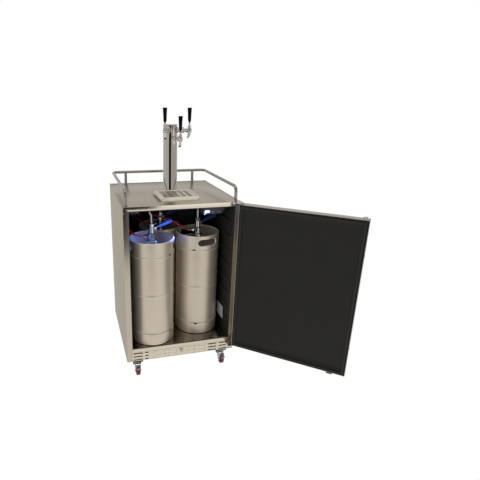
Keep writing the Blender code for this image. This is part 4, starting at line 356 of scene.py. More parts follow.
def lamp_glow():
    """The blue light of the cabinet lamp, thrown left and down over the left keg, with a little spill."""
    low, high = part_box("lamp_lens")
    middle = (Vector(low) + Vector(high)) / 2 + Vector((-0.002, -0.006, -0.003))
    data = bpy.data.lights.new("blue_beam", "SPOT")
    data.energy, data.color = LAMP_LIGHT, (0.10, 0.22, 1.0)
    data.spot_size, data.spot_blend, data.shadow_soft_size = math.radians(36), 0.5, 0.006
    beam = bpy.data.objects.new("blue_beam", data)
    beam.location = middle
    beam.rotation_euler = (at(-0.235, 0.125, 0.71) - middle).to_track_quat("-Z", "Y").to_euler()
    bpy.context.scene.collection.objects.link(beam)
    beam.visible_camera = False
    spill = soft_light("blue_spill", middle, at(0.16, 0.30, 0.80), (0.02, 0.01), SPILL_LIGHT,
        (0.16, 0.24, 1.0))
    spill.visible_camera = spill.visible_glossy = False


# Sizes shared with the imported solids, in metres
HALF, DEPTH, TOP = 0.2985, 0.59396, 0.947
FLOOR_GAP = 0.0003
LIP, FLANGE, FOLD = 0.021, 0.029, 0.0015
CABINET_LOW = 0.098
CEILING = 0.9232
KEG_LOW, KEG_TALL, KEG_WIDE = 0.1776, 0.577, 0.1178
KEG_SPOTS = {"left": (-0.1383, 0.1198, 80), "right": (0.1288, 0.1803, 12), "rear": (-0.04845, 0.33846, 0)}
COUPLER_LOW = KEG_LOW + KEG_TALL - 0.0297
HANDLE_TURNS = {"left": 15, "right": 16, "rear": 20}
TOWER_SPOT = (0.0095, 0.330)
TOWER_WIDE, TOWER_TALL = 0.0375, 0.352
FAUCET_TURNS = {"left": (-118, 0.328), "front": (-73, 0.288), "right": (-28, 0.328)}
FAUCET_OUT = 0.104
LEVER_SPOT = 0.0305
TRAY_SPOT = (0.0038, 0.1815)
DOOR_HALF, DOOR_IN, DOOR_OUT, DOOR_LOW, DOOR_HIGH = 0.2975, -0.0083, -0.0533, 0.145, 0.944
HINGE_X, HINGE_Y, DOOR_TURN = 0.2914, -0.030, 138.2


# Shapes
def joined(*shapes):
    """One mesh from several."""
    whole = bmesh.new()
    for shape in shapes:
        spare = bpy.data.meshes.new("spare")
        shape.to_mesh(spare)
        shape.free()
        whole.from_mesh(spare)
        bpy.data.meshes.remove(spare)
    return whole


def put(shape, place):
    bmesh.ops.transform(shape, matrix=place, verts=shape.verts)
    return shape


def turned(degrees, axis="Z"):
    return Matrix.Rotation(math.radians(degrees), 4, axis)


def moved(x, y, z):
    return Matrix.Translation((x, y, z))


def mm(*points):
    """Points given in millimetres, as metres."""
    return [tuple(value / 1000 for value in point) for point in points]


def about(x, y, *points):
    """Points given in millimetres from a place, as metres."""
    return [(x + right / 1000, y + up / 1000) for right, up in points]


def softened(points, radius, steps=3):
    """A line of points with each corner between its ends rounded."""
    points = [Vector(point) for point in points]
    line = [points[0]]
    for before, corner, after in zip(points, points[1:], points[2:]):
        into, out = corner - before, after - corner
        if into.length * out.length == 0 or into.angle(out) < 0.12:
            line.append(corner)
            continue
        cut_back = min(radius, 0.45 * into.length, 0.45 * out.length)
        first, last = corner - into.normalized() * cut_back, corner + out.normalized() * cut_back
        for step in range(steps + 1):
            t = step / steps
            line.append(first * (1 - t) ** 2 + corner * 2 * t * (1 - t) + last * t ** 2)
    line.append(points[-1])
    return line


def arc(centre, radius, start, end, steps=8):
    """Points on a circle in a profile, between two angles in degrees."""
    angles = [math.radians(start + (end - start) * step / steps) for step in range(steps + 1)]
    return [(centre[0] + radius * math.cos(angle), centre[1] + radius * math.sin(angle))
        for angle in angles]


def bridged(loops, closed=False):
    """A skin from each loop of points to the next: its ends are faced, or meet where it is closed."""
    shape = bmesh.new()
    rings = [[shape.verts.new(point) for point in loop] for loop in loops]
    pairs = list(zip(rings, rings[1:]))
    if closed:
        nearest = min(range(len(rings[0])),
            key=lambda index: (rings[0][index].co - rings[-1][0].co).length)
        pairs.append((rings[-1], rings[0][nearest:] + rings[0][:nearest]))
    for low, high in pairs:
        count = max(len(low), len(high))
        for side in range(count):
            after = (side + 1) % count
            corners = [low[side % len(low)], low[after % len(low)], high[after % len(high)],
                high[side % len(high)]]
            corners = list(dict.fromkeys(corners))
            if len(corners) > 2:
                shape.faces.new(corners)
    if not closed and len(rings[0]) > 1:
        shape.faces.new(rings[0][::-1])
        shape.faces.new(rings[-1])
    bmesh.ops.recalc_face_normals(shape, faces=shape.faces)
    return shape


def revolved(profile, sides=64, rounding=0.0):
    """A closed shape turned round Z from (radius, height) points."""
    line = softened(profile, rounding) if rounding else [Vector(point) for point in profile]
    angles = [2 * math.pi * side / sides for side in range(sides)]
    loops = [[(radius * math.cos(angle), radius * math.sin(angle), height) for angle in angles]
        if radius >= 1e-7 else [(0, 0, height)] for radius, height in line]
    return bridged(loops, closed=len(loops[0]) > 1)


def rod(wide, low, high, sides, rounding=0.0):
    """A plain round bar along Z."""
    return revolved([(0, low), (wide, low), (wide, high), (0, high)], sides, rounding)


def swept(path, radius, sides=16, closed=False):
    """A round tube along a path; radius is one number or one for each point."""
    path = [Vector(point) for point in path]
    count = len(path)
    radii = radius if isinstance(radius, list) else [radius] * count
    angles = [2 * math.pi * side / sides for side in range(sides)]
    loops = []
    side_way = None
    for index, (point, wide) in enumerate(zip(path, radii)):
        before = path[index - 1] if index or closed else point
        after = path[(index + 1) % count] if index < count - 1 or closed else point
        ahead = (after - before).normalized()
        if side_way is None:
            side_way = ahead.orthogonal().normalized()
        side_way = (side_way - ahead * side_way.dot(ahead)).normalized()
        up_way = ahead.cross(side_way)
        loops.append([point + (side_way * math.cos(angle) + up_way * math.sin(angle)) * wide
            for angle in angles])
    return bridged(loops, closed)


def ring(reach, height, thick, sides=6, step=12):
    """A thin ring round Z."""
    angles = [math.radians(angle) for angle in range(0, 360, step)]
    return swept([(reach * math.cos(angle), reach * math.sin(angle), height) for angle in angles], thick,
        sides, True)


def rim(outline, out, thick, sides=6):
    """A rolled edge along an upright outline that faces the front or the back."""
    return swept([(x, out, z) for x, z in outline], thick, sides, True)


def curved(points, per_span=6):
    """A smooth path through the points, straight in its first and last spans."""
    route = [Vector(point) for point in points]
    path = [route[0]]
    for a, b, c, d in zip(route, route[1:], route[2:], route[3:]):
        for step in range(per_span):
            t = step / per_span
            path.append((b * 2 + (c - a) * t + (a * 2 - b * 5 + c * 4 - d) * t ** 2
                + (b * 3 - a - c * 3 + d) * t ** 3) / 2)
    return [*path, route[-2], route[-1]]


AXIS_WAYS = {
    "x": Matrix(((0, 0, 1, 0), (1, 0, 0, 0), (0, 1, 0, 0), (0, 0, 0, 1))),
    "y": Matrix(((1, 0, 0, 0), (0, 0, 1, 0), (0, 1, 0, 0), (0, 0, 0, 1))),
    "z": Matrix.Identity(4),
}


def drawn(outline, axis, low, high, edge=0.0, segments=2):
    """A prism between two places on an axis, its sharp edges rounded over."""
    shape = bmesh.new()
    verts = [shape.verts.new((point[0], point[1], low)) for point in outline]
    face = shape.faces.new(verts)
    grown = bmesh.ops.extrude_face_region(shape, geom=[face])
    for item in grown["geom"]:
        if isinstance(item, bmesh.types.BMVert):
            item.co.z = high
    put(shape, AXIS_WAYS[axis])
    bmesh.ops.recalc_face_normals(shape, faces=shape.faces)
    if edge:
        sharp = [e for e in shape.edges if e.calc_face_angle(0) > 0.5]
        bmesh.ops.bevel(shape, geom=sharp, offset=edge, segments=segments, profile=0.6, affect="EDGES",
            clamp_overlap=True)
    return shape


def block(x, y, z, edge=0.0, segments=2):
    return drawn([(x[0], y[0]), (x[1], y[0]), (x[1], y[1]), (x[0], y[1])], "z", z[0], z[1], edge,
        segments)


def rounded_outline(half_x, half_y, radius, steps=5, centre=(0, 0)):
    corners = []
    for sx, sy, start in ((1, -1, -90), (1, 1, 0), (-1, 1, 90), (-1, -1, 180)):
        middle = (centre[0] + sx * (half_x - radius), centre[1] + sy * (half_y - radius))
        corners += arc(middle, radius, start, start + 90, steps)
    return corners


def hexed(wide, low, high, chamfer=0.0008):
    """A nut across its corners, with its top and bottom edges turned off."""
    return revolved([(0, low), (wide - chamfer, low), (wide, low + chamfer), (wide, high - chamfer),
        (wide - chamfer, high), (0, high)], 6)


def cut_away(shape, *tools):
    """The shape after exact cuts by the tools."""
    item = bpy.data.objects.new("cut_blank", bpy.data.meshes.new("cut_blank"))
    shape.to_mesh(item.data)
    shape.free()
    bpy.context.scene.collection.objects.link(item)
    tool = bpy.data.objects.new("cut_tool", bpy.data.meshes.new("cut_tool"))
    joined(*tools).to_mesh(tool.data)
    bpy.context.scene.collection.objects.link(tool)
    change = item.modifiers.new("cut", "BOOLEAN")
    change.operation = "DIFFERENCE"
    change.solver = "EXACT"
    change.object = tool
    bpy.context.view_layer.update()
    graph = bpy.context.evaluated_depsgraph_get()
    data = bpy.data.meshes.new_from_object(item.evaluated_get(graph))
    result = bmesh.new()
    result.from_mesh(data)
    bpy.data.objects.remove(item)
    bpy.data.objects.remove(tool)
    bpy.data.meshes.remove(data)
    return result


def piece(name, shape, look, body, stands_for=(), place=None, sharp=38):
    """A finished piece on the model, in its own mesh, that rides on a body."""
    data = bpy.data.meshes.new(name)
    put(shape, place if place is not None else Matrix.Translation(at(0, 0, 0)))
    shape.to_mesh(data)
    shape.free()
    data.materials.append(LOOKS[look])
    data.shade_smooth()
    data.set_sharp_from_angle(angle=math.radians(sharp))
    item = bpy.data.objects.new(name, data)
    bpy.context.scene.collection.objects.link(item)
    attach(item, body)
    if stands_for:
        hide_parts(*stands_for)
    return item


def facing(item, look, way, share=0.9):
    """The faces of a piece that look one way take a second finish."""
    item.data.materials.append(LOOKS[look])
    way = Vector(way)
    for face in item.data.polygons:
        if face.normal.dot(way) > share:
            face.material_index = 1


def standing(x, y, z, degrees=0):
    """Where a shape drawn round its own middle goes on the cabinet."""
    return Matrix.Translation(at(x, y, z)) @ turned(degrees)


DOOR_PLACE = (Matrix.Translation(at(HINGE_X, HINGE_Y, 0)) @ turned(DOOR_TURN)
    @ moved(-HINGE_X, -HINGE_Y, 0))


# Kegs and couplers
def keg_shell():
    """A keg with rolled chimes, welded skirts and hand holes through its top skirt."""
    wide, tall, wall, roll = KEG_WIDE, KEG_TALL, 0.003, 0.0034
    body, inner, dome = wide - 0.0018, wide - wall, tall - 0.062
    middle = (0.070 + tall - 0.078) / 2
    outline = [(0, 0.0405), (inner * 0.45, 0.039), (inner * 0.75, 0.034), (inner * 0.90, 0.024),
        (inner - 0.006, 0.010)]
    outline += arc((wide - roll, roll), roll, 190, 360, 9)
    outline += [(wide, roll + 0.004), *about(wide, 0, (0, 65.5), (-0.3, 67.5), (-1.2, 68.4), (-4, 69.2),
        (-3.8, 70.2)), *about(body, 0, (-0.4, 70.8), (0.5, 72.2), (0, 74.2))]
    outline += [(body, 0.0790), *about(body, middle, (0, -14), (0, -9), (0.5, -6), (1.4, -3), (1.6, 0),
        (1.4, 3), (0.5, 6), (0, 9), (0, 14))]
    seam = tall - 0.078
    outline += [*about(body, seam, (0, -10), (0, -5.2), (0.5, -3.4), (-0.4, -2)), *about(wide, seam,
        (-3.8, -1.2), (-4, -0.2), (-1.2, 0.8), (-0.3, 1.8), (0, 4)), (wide, tall - roll - 0.004)]
    outline += arc((wide - roll, tall - roll), roll, 0, 225, 12)
    outline += [(inner - 0.0006, tall - 0.0115), (inner, tall - 0.014), (inner, dome - 0.026),
        (inner - 0.0008, dome - 0.0215), (inner * 0.96, dome - 0.0178), (inner * 0.88, dome - 0.0125),
        (inner * 0.75, dome - 0.0068), (inner * 0.58, dome - 0.0028), (inner * 0.42, dome - 0.0006),
        *about(0, dome, (33.5, 0), (28.5, 1.6), (27.2, 4), (27, 20), (29.6, 22.5), (29.6, 29.5),
        (28.5, 30.8), (22.5, 30.8), (21.5, 29.6), (0, 29))]
    shell = revolved(outline, 120)
    height = tall - 0.036
    opening = rounded_outline(0.054, 0.0185, 0.018, 7, (0, height))
    ways = [drawn(opening, "y", 0.0878, 0.1478), drawn(opening, "y", -0.1478, -0.0878)]
    return cut_away(shell, *ways)


def hand_hole_rims():
    """The rolled edges round both hand holes of a keg, in a near-white painted highlight."""
    rims = []
    for side in (-1, 1):
        edge = [(x, side * math.sqrt((KEG_WIDE - 0.0015) ** 2 - x ** 2), z) for x,
            z in rounded_outline(0.0552, 0.0197, 0.0191, 9, (0, KEG_TALL - 0.036))]
        rims.append(swept(edge, 0.0026, 10, closed=True))
    return joined(*rims)


def keg_beads():
    """The welds at both seams of a keg and the rolled bead round its middle, in a near-white painted
    highlight.
    """
    seam, middle = KEG_TALL - 0.078, (KEG_TALL - 0.008) / 2
    return [ring(reach, z, thick, 8, 4) for reach, thick, z in ((KEG_WIDE - 0.0013, 0.0014, 0.0720),
        (KEG_WIDE - 0.0013, 0.0018, seam - 0.0038), (KEG_WIDE - 0.0012, 0.0014, middle),
        (KEG_WIDE - 0.0034, 0.0037, KEG_TALL - 0.0035))]


def seam_notches(turn, drift):
    """Dark drain slots at the seams of a keg, each widest at its seam and pointed into the skirt."""
    notches = []
    for height, tip, drift in ((0.0692, -0.0090, drift), (KEG_TALL - 0.0770, 0.0075, 0)):
        for side in (143 + drift, drift - 37):
            outline = [(-0.0105, 0), (0.0105, 0), (0.0022, tip), (-0.0022, tip)]
            shape = drawn(outline if tip > 0 else outline[::-1], "y", -0.0008, 0.0008)
            notches.append(put(shape, turned(turn + side) @ moved(0, KEG_WIDE - 0.0006, height)))
    return notches


def kegs():
    for name, (x, y, degrees) in KEG_SPOTS.items():
        piece("keg_body_" + name, keg_shell(), "keg", "cabinet", ["keg_" + name],
            standing(x, y, KEG_LOW, degrees), 40)
        piece("keg_drain_slots_" + name, joined(*seam_notches(degrees, 9 if name == "right" else 0)),
            "shadow_gap", "cabinet", (), standing(x, y, KEG_LOW))
        piece("keg_hole_rims_" + name, hand_hole_rims(), "bead", "cabinet", (),
            standing(x, y, KEG_LOW, degrees))
        piece("keg_beads_" + name, joined(*keg_beads()), "bead", "cabinet", (),
            standing(x, y, KEG_LOW))
        # A near-black ring round each keg's foot: painted shade at the rolled chime.
        foot = revolved(about(KEG_WIDE, 0, (-4, 0), (-0.2, 0), (0.2, 0.6), (0.2, 3.6), (-0.8, 4.2),
            (-4, 4.2)), 120)
        piece("keg_foot_ring_" + name, foot, "keg_foot", "cabinet", (), standing(x, y, KEG_LOW))
        couple(name, x, y)


def coupler_shell():
    """A lever coupler: its locking skirt, body, probe housing, nuts, hose tail and gas inlet."""
    skirt = revolved(mm((0, 0), (25.5, 0), (28.2, 1.2), (29, 3), (29, 10), (27.2, 13.5), (20.5, 17),
        (19, 20.5), (19, 27), (18.2, 28), (18.2, 44), (19, 45), (19, 48.5), (17.2, 50), (14.5, 52),
        (14.5, 87.5), (0, 87.5)), 56, 0.0008)
    lugs = [put(block((0.0245, 0.0288), (-0.006, 0.006), (0.0005, 0.0085), 0.0012), turned(turn))
        for turn in (30, 150, 270)]
    band = [ring(0.0147, z, 0.0006, step=10) for z in (0.058, 0.0835)]
    nut = put(hexed(0.0155, 0.088, 0.100), turned(12))
    tail = revolved(mm((0, 99.5), (10.5, 99.5), (9.8, 103), (6.2, 104.5), (5.2, 107), (5.8, 110),
        (5, 112.5), (5.8, 116), (5, 118.5), (5.5, 121.5), (4.8, 125), (0, 125)), 28)
    inlet_way = moved(0, 0, 0.036) @ turned(-90, "Y")
    inlet = put(joined(rod(0.0068, 0.008, 0.0235, 28, 0.0006), hexed(0.0105, 0.024, 0.0335),
        revolved(mm((0, 33), (6.8, 33), (6.2, 35.5), (5, 36.5), (5.2, 39), (4.4, 40.5), (5.2, 42.5),
        (4.4, 45), (0, 45)), 24)), inlet_way)
    relief = put(revolved(mm((0, 14), (4.2, 14), (4.2, 23.5), (5.2, 24), (5.2, 27), (0, 28)), 20, 0.0005),
        moved(0, 0, 0.034) @ turned(62) @ turned(90, "Y"))
    return joined(skirt, *lugs, *band, nut, tail, inlet, relief)


def handle_stem():
    """The pivot, neck and pin between a coupler and its pull."""
    barrel = put(rod(0.005, -0.0075, 0.0075, 24, 0.0008), turned(90, "X"))
    neck = put(rod(0.0042, 0.002, 0.0202, 20, 0.0005), turned(90, "Y"))
    pin = put(rod(0.0022, -0.0095, 0.0095, 14, 0.0004), turned(90, "X"))
    return joined(barrel, neck, pin)


def handle_grip():
    """The flared pull of a coupler, with three thin ribs near its stem."""
    outline = mm((0, 20), (6.2, 20), (7.4, 21.2), (7.6, 26), (8.2, 34), (9.2, 46), (10.7, 60), (12.4, 74),
        (13.8, 86.5), (14.6, 89.5), (14.9, 91.2), (14.9, 93), (14.2, 94), (12.2, 94), (11.2, 92.5),
        (9.8, 90.5), (0, 90))
    ribs = [ring(reach, z, 0.0006) for reach, z in ((0.0079, 0.030), (0.0084, 0.036), (0.0089, 0.042))]
    return put(joined(revolved(outline, 40), *ribs), turned(90, "Y"))


def couple(name, x, y):
    piece("coupler_body_" + name, coupler_shell(), "cast_chrome", "cabinet",
        ["coupler_" + name], standing(x, y, COUPLER_LOW))
    turn = HANDLE_TURNS[name]
    hinge = moved(0.0145 + 0.0003 + 0.005, 0, 0.075)
    way = standing(x, y, COUPLER_LOW, turn) @ hinge @ turned(-18, "Y")
    body = "coupler_lever_" + name
    # The right pull takes the darker copy of the blue finish: painted shade.
    piece("pull_" + name, handle_grip(), "pull" if name == "left" else "pull_shaded", body,
        ["coupler_handle_" + name], way)
    end_ring = put(revolved(mm((12, 93.8), (14.6, 93.8), (14.4, 94.6), (13.6, 95.2), (12.2, 95),
        (11.2, 93.6)), 40), turned(90, "Y"))
    piece("pull_ring_" + name, end_ring, "cast_chrome", body, (), way)
    piece("pull_stem_" + name, handle_stem(), "cast_chrome", body, (), way)
    ears = [block((0.0125, 0.0250), sorted((side * 0.0086, side * 0.0106)), (0.0680, 0.0815), 0.0006)
        for side in (-1, 1)]
    piece("pull_ears_" + name, joined(*ears), "cast_chrome", "cabinet", (),
        standing(x, y, COUPLER_LOW, turn))


# Hoses
BEER_ROUTES = {
    "left": ("left", "front", ((0.00, -0.0002, -0.0008, 0.0552), (0.00, -0.0077, 0.0032, 0.0352),
        (0.15, -0.0145, 0.0107, 0.0172), (0.44, -0.0106, 0.0088, 0.0152),
        (0.82, -0.0014, 0.0012, 0.0182), (0.98, 0.0015, -0.0012, 0.0062))),
    "right": ("right", "right", ((0.01, 0.0003, 0.0003, 0.0552), (0.08, 0.0027, 0.0013, 0.0352),
        (0.32, 0.0033, 0.0020, 0.0202), (0.72, 0.0039, 0.0018, 0.0182),
        (0.98, 0.0001, -0.0008, 0.0062))),
    "rear": ("rear", "left", ((0.03, -0.0006, -0.0008, 0.0592), (0.16, 0.0003, -0.0001, 0.0412),
        (0.51, 0.0004, 0.0014, 0.0232), (0.82, 0.0005, 0.0010, 0.0092))),
}
GAS_ROUTES = {
    "left": (-1, ((0.00, -0.0124, -0.0003, 0.1612), (0.02, -0.0406, -0.0043, 0.1522),
        (0.08, -0.0572, -0.0079, 0.1372), (0.20, -0.0583, -0.0050, 0.1252),
        (0.49, -0.0456, -0.0041, 0.1272), (0.75, -0.0301, -0.0019, 0.1372),
        (0.91, -0.0096, -0.0021, 0.1452))),
    "rear": (0, ((0.04, -0.0104, -0.0073, 0.1612), (0.14, -0.0298, -0.0175, 0.1532),
        (0.34, -0.0375, -0.0220, 0.1432), (0.62, -0.0266, -0.0161, 0.1432),
        (0.85, -0.0134, -0.0073, 0.1472))),
    "right": (1, ((0.02, -0.0097, -0.0056, 0.1592), (0.10, -0.0195, -0.0139, 0.1432),
        (0.22, -0.0308, -0.0237, 0.1232), (0.34, -0.0521, -0.0376, 0.1052),
        (0.49, -0.0711, -0.0549, 0.0912), (0.66, -0.0634, -0.0486, 0.0912),
        (0.84, -0.0323, -0.0254, 0.1182), (0.95, -0.0115, -0.0101, 0.1432))),
}
HOSE_WIDE = 0.0047
MANIFOLD_SPOT = (-0.190, 0.53216, CEILING - 0.148)


def between(start, end, offsets):
    """The bends of a hose, set off from the straight line between its ends, below the ceiling."""
    return [(start[0] + (end[0] - start[0]) * share + aside, start[1] + (end[1] - start[1]) * share
        + back, CEILING - drop) for share, aside, back, drop in offsets]


def clip(middle, way, wide):
    """A crimped ear clip round a hose end."""
    band = revolved(about(wide, 0, (0.1, -3), (1, -3), (1, 3), (0.1, 3)), 28)
    ear = block((wide + 0.0006, wide + 0.0026), (-0.0020, 0.0020), (-0.0026, 0.0026), 0.0005)
    return put(joined(band, ear), Matrix.Translation(Vector(middle))
        @ Vector(way).to_track_quat("Z", "Y").to_matrix().to_4x4())


def hoses():
    for name, (keg, tap, offsets) in BEER_ROUTES.items():
        x, y, turn = KEG_SPOTS[keg]
        angle, height = FAUCET_TURNS[tap]
        end_x = TOWER_SPOT[0] + 0.0145 * math.cos(math.radians(angle))
        end_y = TOWER_SPOT[1] + 0.0145 * math.sin(math.radians(angle))
        low, high = COUPLER_LOW + 0.125 + FLOOR_GAP, TOP + height - 0.016 - FLOOR_GAP
        route = [(x, y, low), (x, y, low + HOSE_WIDE), *between((x, y), (end_x, end_y), offsets),
            (end_x, end_y, TOP + LIP), (end_x, end_y, high)]
        piece("beer_hose_" + name, swept(curved(route, 7), HOSE_WIDE, 16), "beer", "cabinet",
            ["beer_line_" + name])
        piece("beer_clip_" + name, clip((x, y, low + 0.0032), (0, 0, 1), HOSE_WIDE), "zinc", "cabinet")
    port_y = MANIFOLD_SPOT[1] - 0.022 - 0.014 - FLOOR_GAP
    for name, (port, offsets) in GAS_ROUTES.items():
        x, y, turn = KEG_SPOTS[name]
        start_x, start_z = x - 0.045 - FLOOR_GAP, COUPLER_LOW + 0.036
        end_x = MANIFOLD_SPOT[0] + port * 0.034
        route = [(start_x, y, start_z), (start_x - HOSE_WIDE, y, start_z),
            *between((start_x, y), (end_x, port_y), offsets),
            (end_x, port_y - HOSE_WIDE, MANIFOLD_SPOT[2]), (end_x, port_y, MANIFOLD_SPOT[2])]
        piece("gas_hose_" + name, swept(curved(route, 7), HOSE_WIDE, 16), "gas", "cabinet",
            ["gas_line_" + name])
        piece("gas_clip_" + name, clip((start_x - 0.0036, y, start_z), (-1, 0, 0), HOSE_WIDE), "zinc",
            "cabinet")


# Tower, faucets and rail
def tower():
    wide, tall = TOWER_WIDE, TOWER_TALL
    column = revolved([(wide - 0.0015, FLOOR_GAP), (0.0405, FLOOR_GAP), (0.0405, 0.0036),
        (0.0395, 0.0050), (wide + 0.0006, 0.0060), (wide, 0.0072),
        *about(wide, tall, (0, -0.4), (-0.4, 0), (-1.5, 0))], 128)
    drills = []
    for turn, height in FAUCET_TURNS.values():
        drill = rod(0.0110, wide - 0.006, wide + 0.006, 40)
        drills.append(put(drill, turned(turn) @ moved(0, 0, height) @ turned(90, "Y")))
    spot = standing(*TOWER_SPOT, TOP)
    piece("tower_tube", cut_away(column, *drills), "tower", "cabinet", ["tower_column"], spot,
        30)
    cap = revolved([(0, tall - 0.012), (wide - 0.0018, tall - 0.012), (wide - 0.0018, tall + FLOOR_GAP),
        (wide + 0.0008, tall + FLOOR_GAP), *about(wide, tall, (0.8, 2.4), (-0.6, 4), (-6, 4.3)),
        (0, tall + 0.0043)], 96, 0.0007)
    piece("tower_lid", cap, "tower", "cabinet", ["tower_cap"], spot, 30)


MOUTH_WAY = moved(FAUCET_OUT - 0.0057, 0, -0.0385) @ turned(-36, "Y")


def faucet_shell():
    """A forged faucet on its shank: flange, coupling nut, swelling body, collar and bent spout."""
    lying = turned(90, "Y")
    shank = put(revolved(mm((0, 10), (5, 10), (5, 26), (8.8, 27.5), (10.5, 30), (10.5, 37.8), (15, 37.8),
        (15.5, 38.5), (15.5, 40.5), (14.6, 41.7), (11.2, 42.2), (10.1, 43), (10.1, 60), (0, 60)), 48),
        lying)
    threads = [put(ring(0.0102, z, 0.0005, 5), lying) for z in (0.0445, 0.0463, 0.0481, 0.0499, 0.0517,
        0.0535, 0.0553, 0.0571)]
    nut = put(revolved(mm((0, 60), (13.8, 60), (15, 61.2), (15, 72.8), (13.8, 74), (0, 74)), 48), lying)
    spanner = [put(block((0.0126, 0.0160), (-0.0017, 0.0017), (0.0640, 0.0702), 0.0003), lying
        @ turned(turn)) for turn in range(15, 375, 60)]
    body = put(revolved(mm((0, 73.5), (10.2, 73.5), (10.2, 76.2), (9, 77.5), (8.6, 80.5), (9.6, 85),
        (11.2, 90.5), (12.2, 96.5), (12.5, 102), (12.2, 107), (10.8, 111.8), (8, 115), (4, 116.3),
        (0, 116.5)), 48), lying)
    collar = put(revolved(mm((0, -13), (8.2, -13), (10.2, -7.5), (11.3, 0), (11.2, 6), (9.6, 10.5),
        (7.8, 12.5), (7.6, 13.8), (9, 14.6), (9.4, 15.8), (9.4, 20.6), (8.8, 22.2), (7.4, 22.8),
        (7.2, 24), (6.4, 24.7), (0, 24.7)), 48), moved(FAUCET_OUT, 0, 0))
    spout = swept(curved([(FAUCET_OUT + 0.001, 0, 0.004), (FAUCET_OUT + 0.0005, 0, -0.008),
        (FAUCET_OUT - 0.0012, 0, -0.020), (FAUCET_OUT - 0.0038, 0, -0.031),
        (FAUCET_OUT - 0.0060, 0, -0.0428)], 5), [0.0086, 0.0086] + [0.0082, 0.0080, 0.0077, 0.0074,
        0.0071, 0.0069, 0.0068, 0.0068, 0.0069, 0.0070] + [0.0072] * 5, 28)
    trim = put(block((-0.02, 0.02), (-0.02, 0.02), (-0.03, 0)), MOUTH_WAY)
    bore = put(rod(0.0059, -0.004, 0.002, 28), MOUTH_WAY)
    spout = cut_away(cut_away(spout, trim), bore)
    nipple = put(rod(0.0042, -0.016, 0.002, 20), moved(0.0145, 0, 0))
    return cut_away(nut, *spanner), joined(shank, *threads, body, collar, spout, nipple)


def faucets():
    for name, (turn, height) in FAUCET_TURNS.items():
        spot = standing(*TOWER_SPOT, TOP + height, turn)
        nut, shell = faucet_shell()
        piece("faucet_body_" + name, joined(nut, shell), "chrome", "cabinet",
            ["faucet_" + name], spot, 34)
        mouth = rod(0.0058, 0.0004, 0.0010, 28)
        piece("spout_mouth_" + name, put(mouth, MOUTH_WAY), "shadow_gap", "cabinet", (), spot)
        lever = revolved(mm((0, -5.4), (2.8, -4.8), (4.6, -3), (5.5, 0), (4.6, 3), (3.4, 4.2), (3.1, 6),
            (3.4, 7.6), (0, 7.8)), 36)
        ferrule = revolved(mm((0, 7.6), (4.2, 7.8), (4.8, 8.6), (4.8, 10.4), (4.3, 11), (5, 11.8),
            (5.6, 13.6), (5.6, 15.6), (5, 16.1), (0, 16.1)), 30)
        grip = revolved(mm((0, 16.3), (6, 16.3), (7.4, 17.2), (8.3, 19), (8.5, 21.5), (8.6, 30), (9, 42),
            (9.6, 55), (10.3, 67), (11, 77), (11.2, 80), (10.9, 82), (9.8, 83.1), (0, 83.3)), 44)
        ball = spot @ moved(FAUCET_OUT, 0, LEVER_SPOT)
        piece("tap_stem_" + name, lever, "chrome", "tap_" + name, ["tap_lever_" + name], ball)
        piece("tap_ferrule_" + name, ferrule, "handle_black", "tap_" + name, (), ball)
        piece("tap_grip_" + name, grip, "handle_black", "tap_" + name, ["tap_handle_" + name],
            ball)


def rail():
    side, back, low, high, wide = HALF - 0.0195, DEPTH - 0.027, TOP + FLOOR_GAP, TOP + 0.072, 0.008
    front = 0.026
    path = [Vector((-side, front, low))]
    for corner, radius, into, out in (((-side, front, high), 0.030, (0, 0, 1), (0, 1, 0)),
            ((-side, back, high), 0.032, (0, 1, 0), (1, 0, 0)), ((side, back, high), 0.032, (1, 0, 0),
            (0, -1, 0)), ((side, front, high), 0.030, (0, -1, 0), (0, 0, -1))):
        corner, into, out = Vector(corner), Vector(into), Vector(out)
        centre = corner + (out - into) * radius
        for step in range(13):
            angle = math.pi / 2 * step / 12
            path.append(centre + (into * math.sin(angle) - out * math.cos(angle)) * radius)
    path.append(Vector((side, front, low)))
    tube = swept(path, wide, 28)
    posts = [put(rod(wide, low, high - 0.001, 28), moved(x, back, 0)) for x in (-0.205, 0.205)]
    cups = [put(revolved(about(0, low, (0, 0), (11, 0), (11, 1.2), (10.2, 2.6), (8.4, 4), (0, 4)), 36),
        moved(x, y, 0)) for x, y in ((-side, front), (side, front), (-0.205, back), (0.205, back))]
    piece("rail_tube", joined(tube, *posts, *cups), "tube", "cabinet", ["guard_rail"], None, 40)


